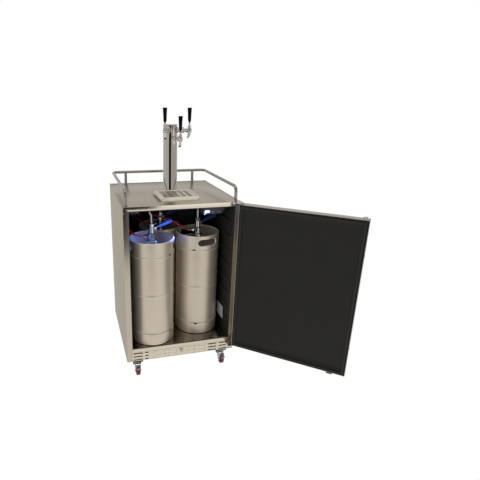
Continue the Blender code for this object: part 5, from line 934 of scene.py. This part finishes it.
def tray():
    half_x, half_y, tall, rim_wide = 0.1025, 0.093, 0.0165, 0.009
    foot = rounded_outline(half_x - 0.009, half_y, 0.003, 4)
    rim_x = half_x + 0.0045
    rim_line = rounded_outline(rim_x, half_y - 0.0030, 0.004, 4)
    inner_x, inner_y = half_x - rim_wide, half_y - rim_wide
    lip = rounded_outline(inner_x, inner_y, 0.0022, 4)
    levels = ((foot, 0.0), (rim_line, tall - 0.0024), (rim_line, tall - 0.0007),
        (rounded_outline(rim_x - 0.0009, half_y - 0.0040, 0.0036, 4), tall),
        (rounded_outline(inner_x + 0.0006, inner_y + 0.0006, 0.0026, 4), tall), (lip, tall - 0.0006),
        (lip, tall - 0.004), (rounded_outline(inner_x - 0.0045, inner_y - 0.0045, 0.003, 4),
        tall - 0.004), (rounded_outline(inner_x - 0.0055, inner_y - 0.0055, 0.003, 4), 0.0015))
    pan = bridged([[(x, y, z) for x, y in outline] for outline, z in levels])
    spot = standing(*TRAY_SPOT, TOP + FLOOR_GAP)
    # The pan's front-facing faces take the near-white finish: a painted highlight.
    facing(piece("tray_pan", pan, "polished", "tray", ["drip_tray"], spot, 30), "tray_front",
        (0, -1, -0.3), 0.8)
    wide, deep, sheet = inner_x - 0.0006, inner_y - 0.0006, 0.0015
    plate = drawn(rounded_outline(wide, deep, 0.002, 3), "z", 0, sheet)
    pitch_x, pitch_y = (wide - 0.012) * 2 / 5, (deep - 0.012) * 2 / 9
    slots = []
    for column in range(5):
        for row in range(9):
            middle = ((column - 2) * pitch_x, (row - 4) * pitch_y)
            slots.append(drawn(rounded_outline(pitch_x * 0.40, pitch_y * 0.31, pitch_y * 0.305, 4,
                middle), "z", -0.004, 0.006))
    plate = cut_away(plate, *slots)
    piece("tray_grille", plate, "grille", "grille", ["drip_grille"],
        standing(*TRAY_SPOT, TOP + 2 * FLOOR_GAP + 0.0125), 30)


# Cabinet
WALL = 0.0015
CORNER = 0.0030
TOE_HIGH = CABINET_LOW + 0.075
SLOT_LONG, SLOT_TALL, SLOT_STEP, SLOT_FIRST, SLOT_ROW = 0.050, 0.0062, 0.063, 0.0252, 0.019


def wall_outline(low, high):
    """The wrapper seen from above: one sheet with rounded corners and two turned-in front flanges."""
    outer, inner = [(low + FLANGE, 0)], [(low + FLANGE, WALL)]
    for corner, start in (((low, 0), 270), ((low, DEPTH), 180), ((high, DEPTH), 90), ((high, 0), 0)):
        middle = (corner[0] + (CORNER if corner[0] < 0 else -CORNER), corner[1]
            + (CORNER if corner[1] == 0 else -CORNER))
        outer += arc(middle, CORNER, start, start - 90, 6)
        inner += arc(middle, CORNER - WALL, start, start - 90, 6)
    outer.append((high - FLANGE, 0))
    inner.append((high - FLANGE, WALL))
    return outer + inner[::-1]


def screw_head(x, y, z, wide=0.0032, way=None):
    """A small domed screw with a cross cut in it, its axis along the given turn."""
    dome = revolved([(0, 0), (wide, 0), (wide, 0.0003), (wide * 0.8, 0.0009), (wide * 0.4, 0.0013),
        (0, 0.0014)], 20)
    arm, thin = wide * 0.5, 0.0003
    cross = [(arm, thin), (thin, thin), (thin, arm), (-thin, arm), (-thin, thin), (-arm, thin),
        (-arm, -thin), (-thin, -thin), (-thin, -arm), (thin, -arm), (thin, -thin), (arm, -thin)]
    return put(cut_away(dome, drawn(cross, "z", 0.0008, 0.0016)), moved(x, y, z)
        @ (way or turned(90, "X")))


def cabinet():
    low, high = -HALF, HALF
    shell = drawn(wall_outline(low, high), "z", CABINET_LOW, TOP - WALL - FLOOR_GAP)
    mitre = drawn([(low - 0.004, TOP), (low, TOP - FLOOR_GAP), (low + FLANGE, TOP - LIP - FLOOR_GAP),
        (high - FLANGE, TOP - LIP - FLOOR_GAP), (high, TOP - FLOOR_GAP), (high + 0.004, TOP)], "y",
        -0.004, WALL + FLOOR_GAP)
    window = block((-0.2, 0.2), (DEPTH - 0.006, DEPTH + 0.004),
        (CABINET_LOW + 0.030, CABINET_LOW + 0.240))
    wrapper = piece("wrapper", cut_away(shell, mitre, window), "side", "cabinet",
        ["cabinet_wrapper"])
    # The wrapper's front-facing faces take the darker flange steel, partly painted shade.
    facing(wrapper, "flange", (0, -1, 0))
    screws = [screw_head(side * (HALF - 0.0048), 0, z, 0.0024) for side in (-1, 1)
        for z in (0.1568, 0.1933, 0.9165)]
    back = turned(-90, "X")
    screws += [screw_head(side * (HALF - 0.02), DEPTH, z, 0.0030, back) for side in (-1, 1)
        for z in (0.13, 0.40, 0.66, 0.92)]
    piece("wrapper_screws", joined(*screws), "zinc", "cabinet")


def deck():
    low, high = -HALF, HALF
    plate = block((low, high), (0, DEPTH), (TOP - WALL, TOP), 0.0007)
    hole = put(rod(0.028, -0.005, 0.005, 40), moved(TOWER_SPOT[0], TOWER_SPOT[1], TOP))
    plate = cut_away(plate, hole)
    lip = drawn([(low, TOP - 0.0004), (low + FLANGE, TOP - LIP), (high - FLANGE, TOP - LIP),
        (high, TOP - 0.0004)], "y", 0, WALL, 0.0005)
    roll = swept([(x, 0.0016, TOP - 0.0012) for x in (low + 0.0012, -0.1, 0.1, high - 0.0012)], 0.0016,
        12)
    hem = swept([(x, 0.0012, TOP - LIP + 0.0006) for x in (low + FLANGE, 0, high - FLANGE)], 0.0012, 10)
    beads = [block(sorted((side * HALF, side * (HALF - 0.008))), (WALL, DEPTH),
        (TOP - 0.0008, TOP + 0.0014), 0.0009) for side in (-1, 1)]
    beads.append(block((low + 0.0008, high - 0.0008), (DEPTH - 0.008, DEPTH),
        (TOP - 0.0008, TOP + 0.0014), 0.0009))
    top = piece("deck_plate", joined(plate, *beads), "deck", "cabinet", ["top_deck"])
    # The deck's front edge takes the darker flange steel, partly painted shade.
    facing(top, "flange", (0, -1, 0))
    # The lip takes the lighter copy of the deck steel: a painted highlight.
    piece("deck_lip", joined(lip, roll, hem), "lip", "cabinet")
    corner_marks = [put(block((-0.00035, 0.00035), (-0.00012, 0.0004), (0, 0.0352)),
        moved(side * HALF, 0, TOP - 0.0002) @ turned(-side * 126, "Y")) for side in (-1, 1)]
    piece("deck_mitres", joined(*corner_marks), "shadow_gap", "cabinet")
    piece("deck_screws", joined(*[screw_head(side * (HALF - 0.0052), 0, TOP - 0.0060, 0.0022)
        for side in (-1, 1)]), "zinc", "cabinet")


def toe_panel():
    """The kick panel with its three rows of pressed louvres."""
    seam = CABINET_LOW + 0.0502
    outline = [(0.0010, CABINET_LOW), *about(0, seam, (1, -1), (1.8, 0), (0.6, 0.4), (0, 1.2)),
        *about(0, TOE_HIGH, (0, -1.2), (0.8, -0.3), (1.6, 0), (12, 0)), (0.012, TOE_HIGH - WALL),
        (0.0026, TOE_HIGH - WALL), (0.0026, CABINET_LOW)]
    panel = drawn(outline, "x", -0.2692, 0.2692)
    slots, blades, rims = [], [], []
    for row in range(3):
        z = CABINET_LOW + 0.0076 + row * SLOT_ROW
        for column in range(4):
            for side in (-1, 1):
                x = side * (SLOT_FIRST + column * SLOT_STEP + SLOT_LONG / 2)
                opening = rounded_outline(SLOT_LONG / 2, SLOT_TALL / 2, SLOT_TALL / 2 - 0.0002, 5, (x, z))
                slots.append(drawn(opening, "y", -0.004, 0.0055))
                blade = [(WALL - 0.0004, z - SLOT_TALL / 2 - 0.0006),
                    (0.0050, z - SLOT_TALL / 2 - 0.0022), (0.0054, z - SLOT_TALL / 2 - 0.0016),
                    (WALL, z - SLOT_TALL / 2 + 0.0004)]
                blades.append(drawn(blade, "x", x - SLOT_LONG / 2 + 0.001, x + SLOT_LONG / 2 - 0.001))
                back = [(0.0020, z - SLOT_TALL / 2 - 0.001), (0.0026, z - SLOT_TALL / 2 - 0.001),
                    (0.0026, z + SLOT_TALL / 2), (0.0020, z + SLOT_TALL / 2)]
                start = x - SLOT_LONG / 2 + (0.016 if side < 0 and column == 2 else 0)
                if column < (3 if side < 0 else 2):
                    blades.append(drawn(back, "x", start + 0.0015, x + SLOT_LONG / 2 - 0.0015))
                rims.append(rim(rounded_outline(SLOT_LONG / 2 + 0.0004, SLOT_TALL / 2 + 0.0004,
                    SLOT_TALL / 2, 5, (x, z)), 0.0009, 0.0005))
    barrel = put(rod(0.0083, -0.01, 0.01, 30), moved(0, 0, CABINET_LOW + 0.032) @ turned(90, "X"))
    panel = cut_away(panel, barrel, *slots)
    piece("kick_panel", joined(panel, *rims), "kick", "cabinet", ["toe_kick"])
    # The blades behind the slots are near-white: painted light seen through them.
    piece("kick_louvres", joined(*blades), "louvre", "cabinet")
    piece("kick_screws", joined(*[screw_head(side * 0.2585, 0, TOE_HIGH - 0.006, 0.0024)
        for side in (-1, 1)]), "zinc", "cabinet")


def key_lock():
    way = standing(0, 0, CABINET_LOW + 0.032) @ turned(90, "X")
    collar = revolved(mm((0, -18), (8, -18), (8, 0.3), (10.8, 0.3), (11, 0.8), (11, 2.2), (10, 3.6),
        (8.2, 4), (7.8, 3.6), (7.6, 3), (3, 3.1), (0, 3.1)), 44)
    keyway = block((-0.0011, 0.0011), (-0.0052, 0.0052), (0.0020, 0.0060))
    facing(piece("key_lock", cut_away(collar, keyway), "chrome", "lock", ["toe_lock"], way),
        "lock_face", (0, -1, 0), 0.5)
    piece("keyway_depth", block((-0.0010, 0.0010), (-0.0051, 0.0051), (0.0021, 0.0024)), "shadow_gap",
        "lock", (), way)


def label_plate():
    """A bare pale plate on the right wall of the liner, low down beside the right keg."""
    wall = 0.26015
    plate = drawn(rounded_outline(0.048, 0.037, 0.003, 4, (0.130, 0.284)), "x", wall - 0.0009,
        wall - 0.0001)
    piece("bare_label_plate", plate, "label", "cabinet")
    rivets = [put(revolved(mm((0, 0), (2.2, 0), (1.8, 0.8), (0, 1.1)), 16), moved(wall - 0.0009, y, z)
        @ turned(-90, "Y")) for y in (0.087, 0.173) for z in (0.252, 0.316)]
    piece("label_rivets", joined(*rivets), "zinc", "cabinet")


def shelf_plate():
    plate = block((-0.2637, 0.2637), (0.003, 0.46276), (0.1761, 0.1773), 0.0005)
    piece("keg_floor", plate, "keg_floor", "cabinet", ["floor_plate"])


# Inside fittings
LAMP_SPOT = (0.1195, 0.060, CEILING - FLOOR_GAP)


def lamp():
    x, y, z = LAMP_SPOT
    outline = softened(mm((0, 0), (0, -47), (100, -47), (130, 0)), 0.004, 4)
    case = drawn(outline, "y", 0, 0.070, 0.0012)
    vents = [block((0.030 + 0.011 * step, 0.036 + 0.011 * step), (0.020, 0.050), (-0.0480, -0.0462))
        for step in range(5)]
    bezel = rim(rounded_outline(0.0150, 0.0080, 0.003, 4, (0.022, -0.032)), -0.0004, 0.0012, 8)
    screws = [screw_head(px, 0, pz, 0.0026) for px, pz in ((0.052, -0.036), (0.090, -0.036),
        (0.100, -0.012))]
    place = standing(x, y, z)
    piece("lamp_case", joined(cut_away(case, *vents), bezel), "housing", "cabinet",
        ["lamp_housing"], place)
    piece("lamp_screws", joined(*screws), "zinc", "cabinet", (), place)
    lens = drawn(rounded_outline(0.0128, 0.0050, 0.0020, 4, (0.022, -0.033)), "y", -0.0017, -0.0003,
        0.0004)
    piece("lamp_window", lens, "lens", "cabinet", ["lamp_lens"], place)


def cold_plate_cover():
    """The moulded cover of the evaporator, with its fan slots."""
    outline = softened(mm((0, 0), (-15, 0), (-30, -15), (-30, -200), (0, -200)), 0.004, 4)
    cover = drawn(outline, "x", -0.145, 0.145, 0.0015)
    rows = [-0.1 + (step - 2) * 0.018 for step in range(5)]
    slots = [drawn(rounded_outline(0.0435, 0.0035, 0.0034, 5, (0, z)), "y", -0.034, -0.010) for z in rows]
    louvres = [rim(rounded_outline(0.0440, 0.0040, 0.0038, 5, (0, z)), -0.0300, 0.0007) for z in rows]
    screws = [screw_head(px, -0.030, pz, 0.003) for px in (-0.13, 0.13) for pz in (-0.03, -0.188)]
    place = standing(0.060, 0.53216, CEILING - 0.030)
    piece("evaporator_shell", joined(cut_away(cover, *slots), *louvres), "housing", "cabinet",
        ["evaporator_cover"], place)
    piece("evaporator_screws", joined(*screws), "zinc", "cabinet", (), place)


def manifold():
    x, y, z = MANIFOLD_SPOT
    body = block((-0.055, 0.055), (-0.022, 0), (-0.011, 0.011), 0.0016)
    fittings = []
    for port in (-1, 0, 1):
        way = moved(port * 0.034, -0.022, 0) @ turned(90, "X")
        fittings.append(put(joined(hexed(0.0072, -0.0005, 0.0062), revolved(mm((0, 6), (5, 6), (5, 7.8),
            (4.2, 9), (5.2, 10.4), (4.2, 12), (4.8, 14), (0, 14)), 20)), way))
        fittings.append(put(joined(rod(0.0042, 0, 0.0060, 16, 0.0006), block((-0.0105, 0.0105),
            (-0.0018, 0.0018), (0.0045, 0.0075), 0.0008)), moved(port * 0.034, -0.011, 0.011)
            @ turned(22 * port)))
    fittings += [screw_head(side * 0.050, -0.022, 0, 0.0026) for side in (-1, 1)]
    piece("gas_block", joined(body, *fittings), "zinc", "cabinet", ["gas_manifold"],
        standing(x, y, z))


# Door
def door_shell():
    low, high = DOOR_LOW, DOOR_HIGH
    fold = 0.0022
    front = rounded_outline(DOOR_HALF - fold * 0.3, (high - low) / 2 - fold * 0.3, 0.0016, 3,
        (0, (low + high) / 2))
    skin = drawn(front, "y", DOOR_OUT, DOOR_OUT + WALL, 0.0006)
    across, upward = (-DOOR_HALF, DOOR_HALF), (low, high)
    edges = [block(x, (DOOR_OUT + 0.0004, DOOR_IN), z, 0.0006) for x,
        z in (((-DOOR_HALF, -DOOR_HALF + WALL), upward), ((DOOR_HALF - WALL, DOOR_HALF), upward),
        (across, (low, low + WALL)), (across, (high - WALL, high)))]
    piece("door_skin", joined(skin, *edges), "door_steel", "door", ["door_panel"], DOOR_PLACE)
    spot = -DOOR_HALF + 0.021
    half_hoop = mm((8, -0.6), (8, 3.5), (6.6, 6), (4, 7))
    hoop = [(-x, z) for x, z in half_hoop] + half_hoop[::-1]
    staple = swept([(spot + x, DOOR_IN - 0.030, high + z) for x, z in hoop], 0.0020, 14)
    feet = [put(revolved(mm((0, 0), (3.4, 0), (3.4, 0.6), (2.6, 1.2), (0, 1.2)), 20),
        moved(spot + side * 0.008, DOOR_IN - 0.030, high)) for side in (-1, 1)]
    piece("lock_staple", joined(staple, *feet), "cast_chrome", "door", (), DOOR_PLACE)
    middle = -DOOR_HALF + 0.074
    catch = joined(block((middle - 0.014, middle + 0.014), (DOOR_IN - 0.012, DOOR_IN - 0.0008),
        (low - 0.0090, low + 0.0006), 0.0018), *[put(screw_head(0, 0, 0, 0.0022),
        moved(middle + side * 0.009, DOOR_IN - 0.0120, low - 0.0045)) for side in (-1, 1)])
    piece("door_catch", catch, "black_paint", "door", (), DOOR_PLACE)


def door_lining():
    inset = WALL + FLOOR_GAP
    wide, low, high = DOOR_HALF - inset, DOOR_LOW + inset, DOOR_HIGH - inset
    middle, half = (low + high) / 2, (high - low) / 2
    levels = ((0.0004, DOOR_OUT + inset + 0.0006, 0.002), (0.0, DOOR_IN - 0.0012, 0.003),
        (0.0012, DOOR_IN, 0.003), (0.0265, DOOR_IN, 0.006), (0.0285, DOOR_IN - 0.0008, 0.008),
        (0.0318, DOOR_IN - 0.0032, 0.010), (0.0340, DOOR_IN - 0.0038, 0.012))
    slab = bridged([[(x, depth, z) for x, z in rounded_outline(wide - reach, half - reach, radius, 5,
        (0, middle))] for reach, depth, radius in levels])
    drills = [put(rod(0.0034, -0.016, 0.016, 20), moved(HINGE_X, HINGE_Y, z))
        for z in (DOOR_LOW, DOOR_HIGH)]
    piece("door_lining", cut_away(slab, *drills), "door_liner", "door", ["door_liner"],
        DOOR_PLACE, 30)


def door_seal():
    """The ribbed magnetic seal, mitred round the door."""
    section = mm((0, 0.3), (13, 0.3), (13, 1.4), (11.2, 2.2), (11.8, 3.6), (11, 5), (10, 7.4), (3, 7.6),
        (2, 5.2), (1.2, 3.6), (1.8, 2.2), (0, 1.4))
    loops = []
    for reach, out in section:
        inset = 0.009 + reach
        low, high = DOOR_LOW + inset, DOOR_HIGH - inset
        wide = DOOR_HALF - inset
        loops.append([(x, DOOR_IN + out, z) for x, z in ((-wide, low), (wide, low), (wide, high),
            (-wide, high))])
    seal = bridged(loops, closed=True)
    piece("magnetic_seal", seal, "gasket", "door", ["door_gasket"], DOOR_PLACE, 50)


def door_bar():
    spot, out = -DOOR_HALF + 0.011, DOOR_OUT - 0.040
    tall = DOOR_HIGH - DOOR_LOW
    posts = [DOOR_LOW + tall * share for share in (0.165, 0.775)]
    low, high = posts[0] - 0.018, posts[1] + 0.018
    bar = put(revolved([*about(0, low, (0, 0), (6.2, 0), (7.3, 1.2), (7.5, 2.6)), *about(0, high,
        (7.5, -2.6), (7.3, -1.2), (6.2, 0), (0, 0))], 40), moved(spot, out, 0))
    lugs = [put(joined(revolved(mm((0, 0.3), (11.8, 0.3), (12, 1.2), (12, 15), (11.2, 18), (10, 26),
        (9.2, 33), (8.4, 38), (7.8, 42), (6, 44.8), (0, 45.2)), 36)), moved(spot, DOOR_OUT, z)
        @ turned(90, "X")) for z in posts]
    rings = [rim([(spot + x, z + out) for x, out in arc((0, 0), 0.0121, 0, 348, 29)], DOOR_OUT - 0.0024,
        0.0005) for z in posts]
    piece("door_bar", joined(bar, *lugs, *rings), "chrome", "door", ["door_handle"], DOOR_PLACE)


def hinges():
    right, left = HALF - 0.001, HALF - 0.043
    low = TOP + 0.0014 + FLOOR_GAP
    middle = (left + right) / 2
    plate = drawn(rounded_outline((right - left) / 2, 0.02875, 0.005, 5, (middle, -0.01625)), "z", low,
        low + 0.003, 0.0005)
    leg = block((left, right), (-0.0033, -0.0003), (TOP - 0.010, low + 0.0010), 0.0005)
    knuckle = put(revolved([*about(0, DOOR_HIGH, (0, -12), (3, -12), (3, 0.3), (7, 0.3)),
        (0.0070, low + 0.0005), (0, low + 0.0005)], 28), moved(HINGE_X, HINGE_Y, 0))
    head = put(revolved(about(0, low, (0, 2.8), (5.2, 2.8), (5.2, 3.6), (4, 4.6), (0, 4.8)), 28),
        moved(HINGE_X - 0.002, HINGE_Y, 0))
    screws = [screw_head(x, 0.004, low + 0.003, 0.0036, Matrix()) for x in (left + 0.010, right - 0.011)]
    piece("upper_hinge", joined(plate, leg, knuckle), "chrome", "cabinet",
        ["hinge_bracket_top"])
    piece("upper_hinge_screws", joined(head, *screws), "zinc", "cabinet")
    high = DOOR_LOW - FLOOR_GAP - 0.0015
    plate = drawn(rounded_outline((right - left) / 2, 0.02235, 0.005, 5, (middle, -0.02265)), "z",
        high - 0.003, high, 0.0005)
    leg = block((left, right), (-0.0033, -0.0003), (high - 0.026, high - 0.0008), 0.0005)
    knuckle = put(revolved([(0, high - 0.0005), (0.0070, high - 0.0005), *about(0, DOOR_LOW, (7, -0.3),
        (3, -0.3), (3, 12), (0, 12))], 28), moved(HINGE_X, HINGE_Y, 0))
    screws = [screw_head(x, -0.0033, high - 0.014, 0.0036) for x in (left + 0.010, right - 0.010)]
    piece("lower_hinge", joined(plate, leg, knuckle), "chrome", "cabinet",
        ["hinge_bracket_bottom"])
    piece("lower_hinge_screws", joined(*screws), "zinc", "cabinet")


# Casters
CASTER_SPOTS = {"front_left": (-1, 0.044), "front_right": (1, 0.044), "rear_left": (-1, DEPTH - 0.044),
    "rear_right": (1, DEPTH - 0.044)}
WHEEL_HIGH, TRAIL = 0.026, 0.024


def fork_shell():
    """The pressed yoke of a caster: crown, two legs, king bolt, ball race and axle."""
    outline = softened(mm((21.5, 60.5), (21.5, 54.5), (-13, 20.5), (-24, 15), (-35, 20.5), (-38, 51.5),
        (-38, 60.5)), 0.004, 3)
    legs = [drawn(outline, "x", *sorted((side * 0.0116, side * 0.0141)), 0.0006) for side in (-1, 1)]
    crown = drawn(softened(mm((21.3, -13.9), (21.3, 13.9), (-23.5, 13.9), (-23.5, -13.9))[::-1], 0.003,
        3), "z", 0.0575, 0.0605, 0.0006)
    race = revolved(mm((0, 59.7), (19, 59.7), (19.2, 61.2), (18.6, 63.2), (16, 64.5), (15, 66.2),
        (16.4, 67.6), (17.2, 70), (16, 72.2), (12, 73.2), (12, 79.7), (0, 79.7)), 40)
    axle = put(joined(rod(0.0040, -0.0141, 0.0141, 20), hexed(0.0065, 0.0141, 0.0171),
        revolved(mm((0, -17.1), (5, -17.1), (6.4, -16.2), (6.5, -14.1), (0, -14.1)), 24)),
        moved(0, -TRAIL, WHEEL_HIGH) @ turned(90, "Y"))
    return joined(*legs, crown, race, axle)


def wheel_tyre():
    tread = revolved(mm((16.5, -9.2), (20.5, -9.6), (23.2, -10.4), (25, -9.2), (25.9, -6.8), (26, -2),
        (25.85, 0), (26, 2), (25.9, 6.8), (25, 9.2), (23.2, 10.4), (20.5, 9.6), (16.5, 9.2)), 56)
    return put(tread, turned(90, "Y"))


def wheel_hub():
    disc = revolved(mm((4.3, -11), (7.2, -11), (8, -10), (8.4, -6.2), (15, -5.8), (16.2, -8.6),
        (17.2, -9.2), (17.2, 9.2), (16.2, 8.6), (15, 5.8), (8.4, 6.2), (8, 10), (7.2, 11), (4.3, 11)), 44)
    spokes = [put(block((0.0080, 0.0160), (-0.0009, 0.0009), (-0.0084, 0.0084), 0.0004),
        turned(60 * step)) for step in range(6)]
    return put(joined(disc, *spokes), turned(90, "Y"))


def brake_tread():
    barrel = put(rod(0.003, -0.0113, 0.0113, 20, 0.0004), turned(90, "Y"))
    tab = drawn(mm((0, 3), (0, 1), (-25, 1), (-30, -3), (-32, -1), (-25.8, 3)), "x", -0.0095, 0.0095,
        0.0007)
    ribs = [block((-0.0075, 0.0075), (-0.0235 + 0.0042 * step, -0.0220 + 0.0042 * step), (0.0026, 0.0036),
        0.0004) for step in range(4)]
    return joined(barrel, tab, *ribs)


def casters():
    for name, (side, y) in CASTER_SPOTS.items():
        x = side * (HALF - 0.059)
        here = standing(x, y, 0)
        axle = here @ moved(0, -TRAIL, WHEEL_HIGH)
        piece("yoke_" + name, fork_shell(), "zinc", "fork_" + name, ["caster_fork_" + name], here)
        piece("tyre_" + name, wheel_tyre(), "red", "wheel_" + name, ["caster_wheel_" + name], axle)
        piece("wheel_hub_" + name, wheel_hub(), "hub", "wheel_" + name, (), axle)
        bolts = [put(joined(hexed(0.0045, -0.0034, 0), rod(0.0026, -0.0044, -0.0030, 14)),
            moved(dx, dy, 0.080)) for dx in (-0.022, 0.022) for dy in (-0.022, 0.022)]
        piece("caster_bolts_" + name, joined(*bolts), "zinc", "cabinet", (), here)
        if name.startswith("front"):
            piece("brake_tread_" + name, brake_tread(), "zinc", "pedal_" + name,
                ["brake_pedal_" + name], here @ moved(0, -TRAIL - 0.008, 0.0605 - 0.006))


# Base and back
def base():
    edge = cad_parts["base_frame"].modifiers.new("rounded_edges", "BEVEL")
    edge.width, edge.segments, edge.limit_method, edge.angle_limit = 0.0006, 2, "ANGLE", math.radians(50)
    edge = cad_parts["inner_liner"].modifiers.new("rounded_edges", "BEVEL")
    edge.width, edge.segments, edge.limit_method, edge.angle_limit = 0.0009, 2, "ANGLE", math.radians(40)


def back_grille():
    low, high = CABINET_LOW + 0.016, CABINET_LOW + 0.254
    middle, face = (low + high) / 2, DEPTH + FLOOR_GAP
    panel = drawn(rounded_outline(0.214, (high - low) / 2, 0.006, 5, (0, middle)), "y", face, face
        + 0.002, 0.0005)
    slots, rims = [], []
    for row in range(7):
        z = middle + (row - 3) * 0.024
        for side in (-1, 1):
            outline = rounded_outline(0.084, 0.004, 0.0038, 5, (side * 0.1, z))
            slots.append(drawn(outline, "y", face - 0.004, face + 0.006))
            rims.append(rim(rounded_outline(0.0844, 0.0044, 0.0040, 5, (side * 0.1, z)), face + 0.0020,
                0.0006))
    back = turned(-90, "X")
    piece("back_grille", joined(cut_away(panel, *slots), *rims), "black_paint", "cabinet",
        ["rear_grille"])
    piece("back_grille_screws", joined(*[screw_head(x, face + 0.002, z, 0.003, back)
        for x in (-0.206, 0, 0.206) for z in (low + 0.006, high - 0.006)]), "zinc", "cabinet")


def mains_inlet():
    face = DEPTH + FLOOR_GAP
    place = standing(0.165, face, CABINET_LOW + 0.275)
    body = drawn(rounded_outline(0.015, 0.012, 0.002, 4), "y", 0, 0.012, 0.0006)
    well = drawn(softened(mm((-12, -9), (12, -9), (12, 4.5), (7.5, 9), (-7.5, 9), (-12, 4.5)), 0.0012, 3),
        "y", 0.0040, 0.016)
    pins = [block((x - 0.001, x + 0.001), (0.0036, 0.0112), (z - 0.0027, z + 0.0027), 0.0003) for x,
        z in ((-0.0065, -0.003), (0.0065, -0.003), (0, 0.003))]
    piece("mains_inlet", cut_away(body, well), "grip", "cabinet", ["power_inlet"], place)
    piece("inlet_pins", joined(*pins), "cast_chrome", "cabinet", (), place)


def compressor():
    wide, tall = 0.046, 0.145
    shell = revolved([*mm((0, 0), (27, 0), (27, 18), (30, 20.5), (40.5, 23.5), (45, 31), (46, 42),
        (46, 76.5), (47.2, 77.5), (47.2, 83.5), (45.5, 84.5), (44, 90), (43.5, 113), (40.5, 129),
        (31, 139.5), (15, 144)), (0, tall)], 64)
    box = block((-0.0145, 0.0145), (-0.0570, -0.0415), (0.0500, 0.0750), 0.002)
    place = standing(-0.110, 0.53796, 0.0883)
    piece("compressor_shell", joined(shell, box), "black_paint", "cabinet", ["compressor"],
        place)
    tubes = [swept(curved([Vector(point) for point in route], 6), 0.0032, 14)
        for route in (((0.030, -0.020, 0.120), (0.040, -0.026, 0.135), (0.056, -0.028, 0.142),
        (0.080, -0.020, 0.142), (0.110, -0.012, 0.142)), ((-0.030, 0.020, 0.090), (-0.048, 0.026, 0.094),
        (-0.060, 0.026, 0.110), (-0.062, 0.020, 0.140)))]
    piece("compressor_tubes", joined(*tubes), "copper", "cabinet", (), place)


photograph_camera()
studio()
dress_nodes()
for build in (cabinet, deck, toe_panel, key_lock, label_plate, shelf_plate, lamp, cold_plate_cover,
        manifold, kegs, hoses, tower, faucets, rail, tray, door_shell, door_lining, door_seal, door_bar,
        hinges, casters, base, back_grille, mains_inlet, compressor, lamp_glow):
    build()
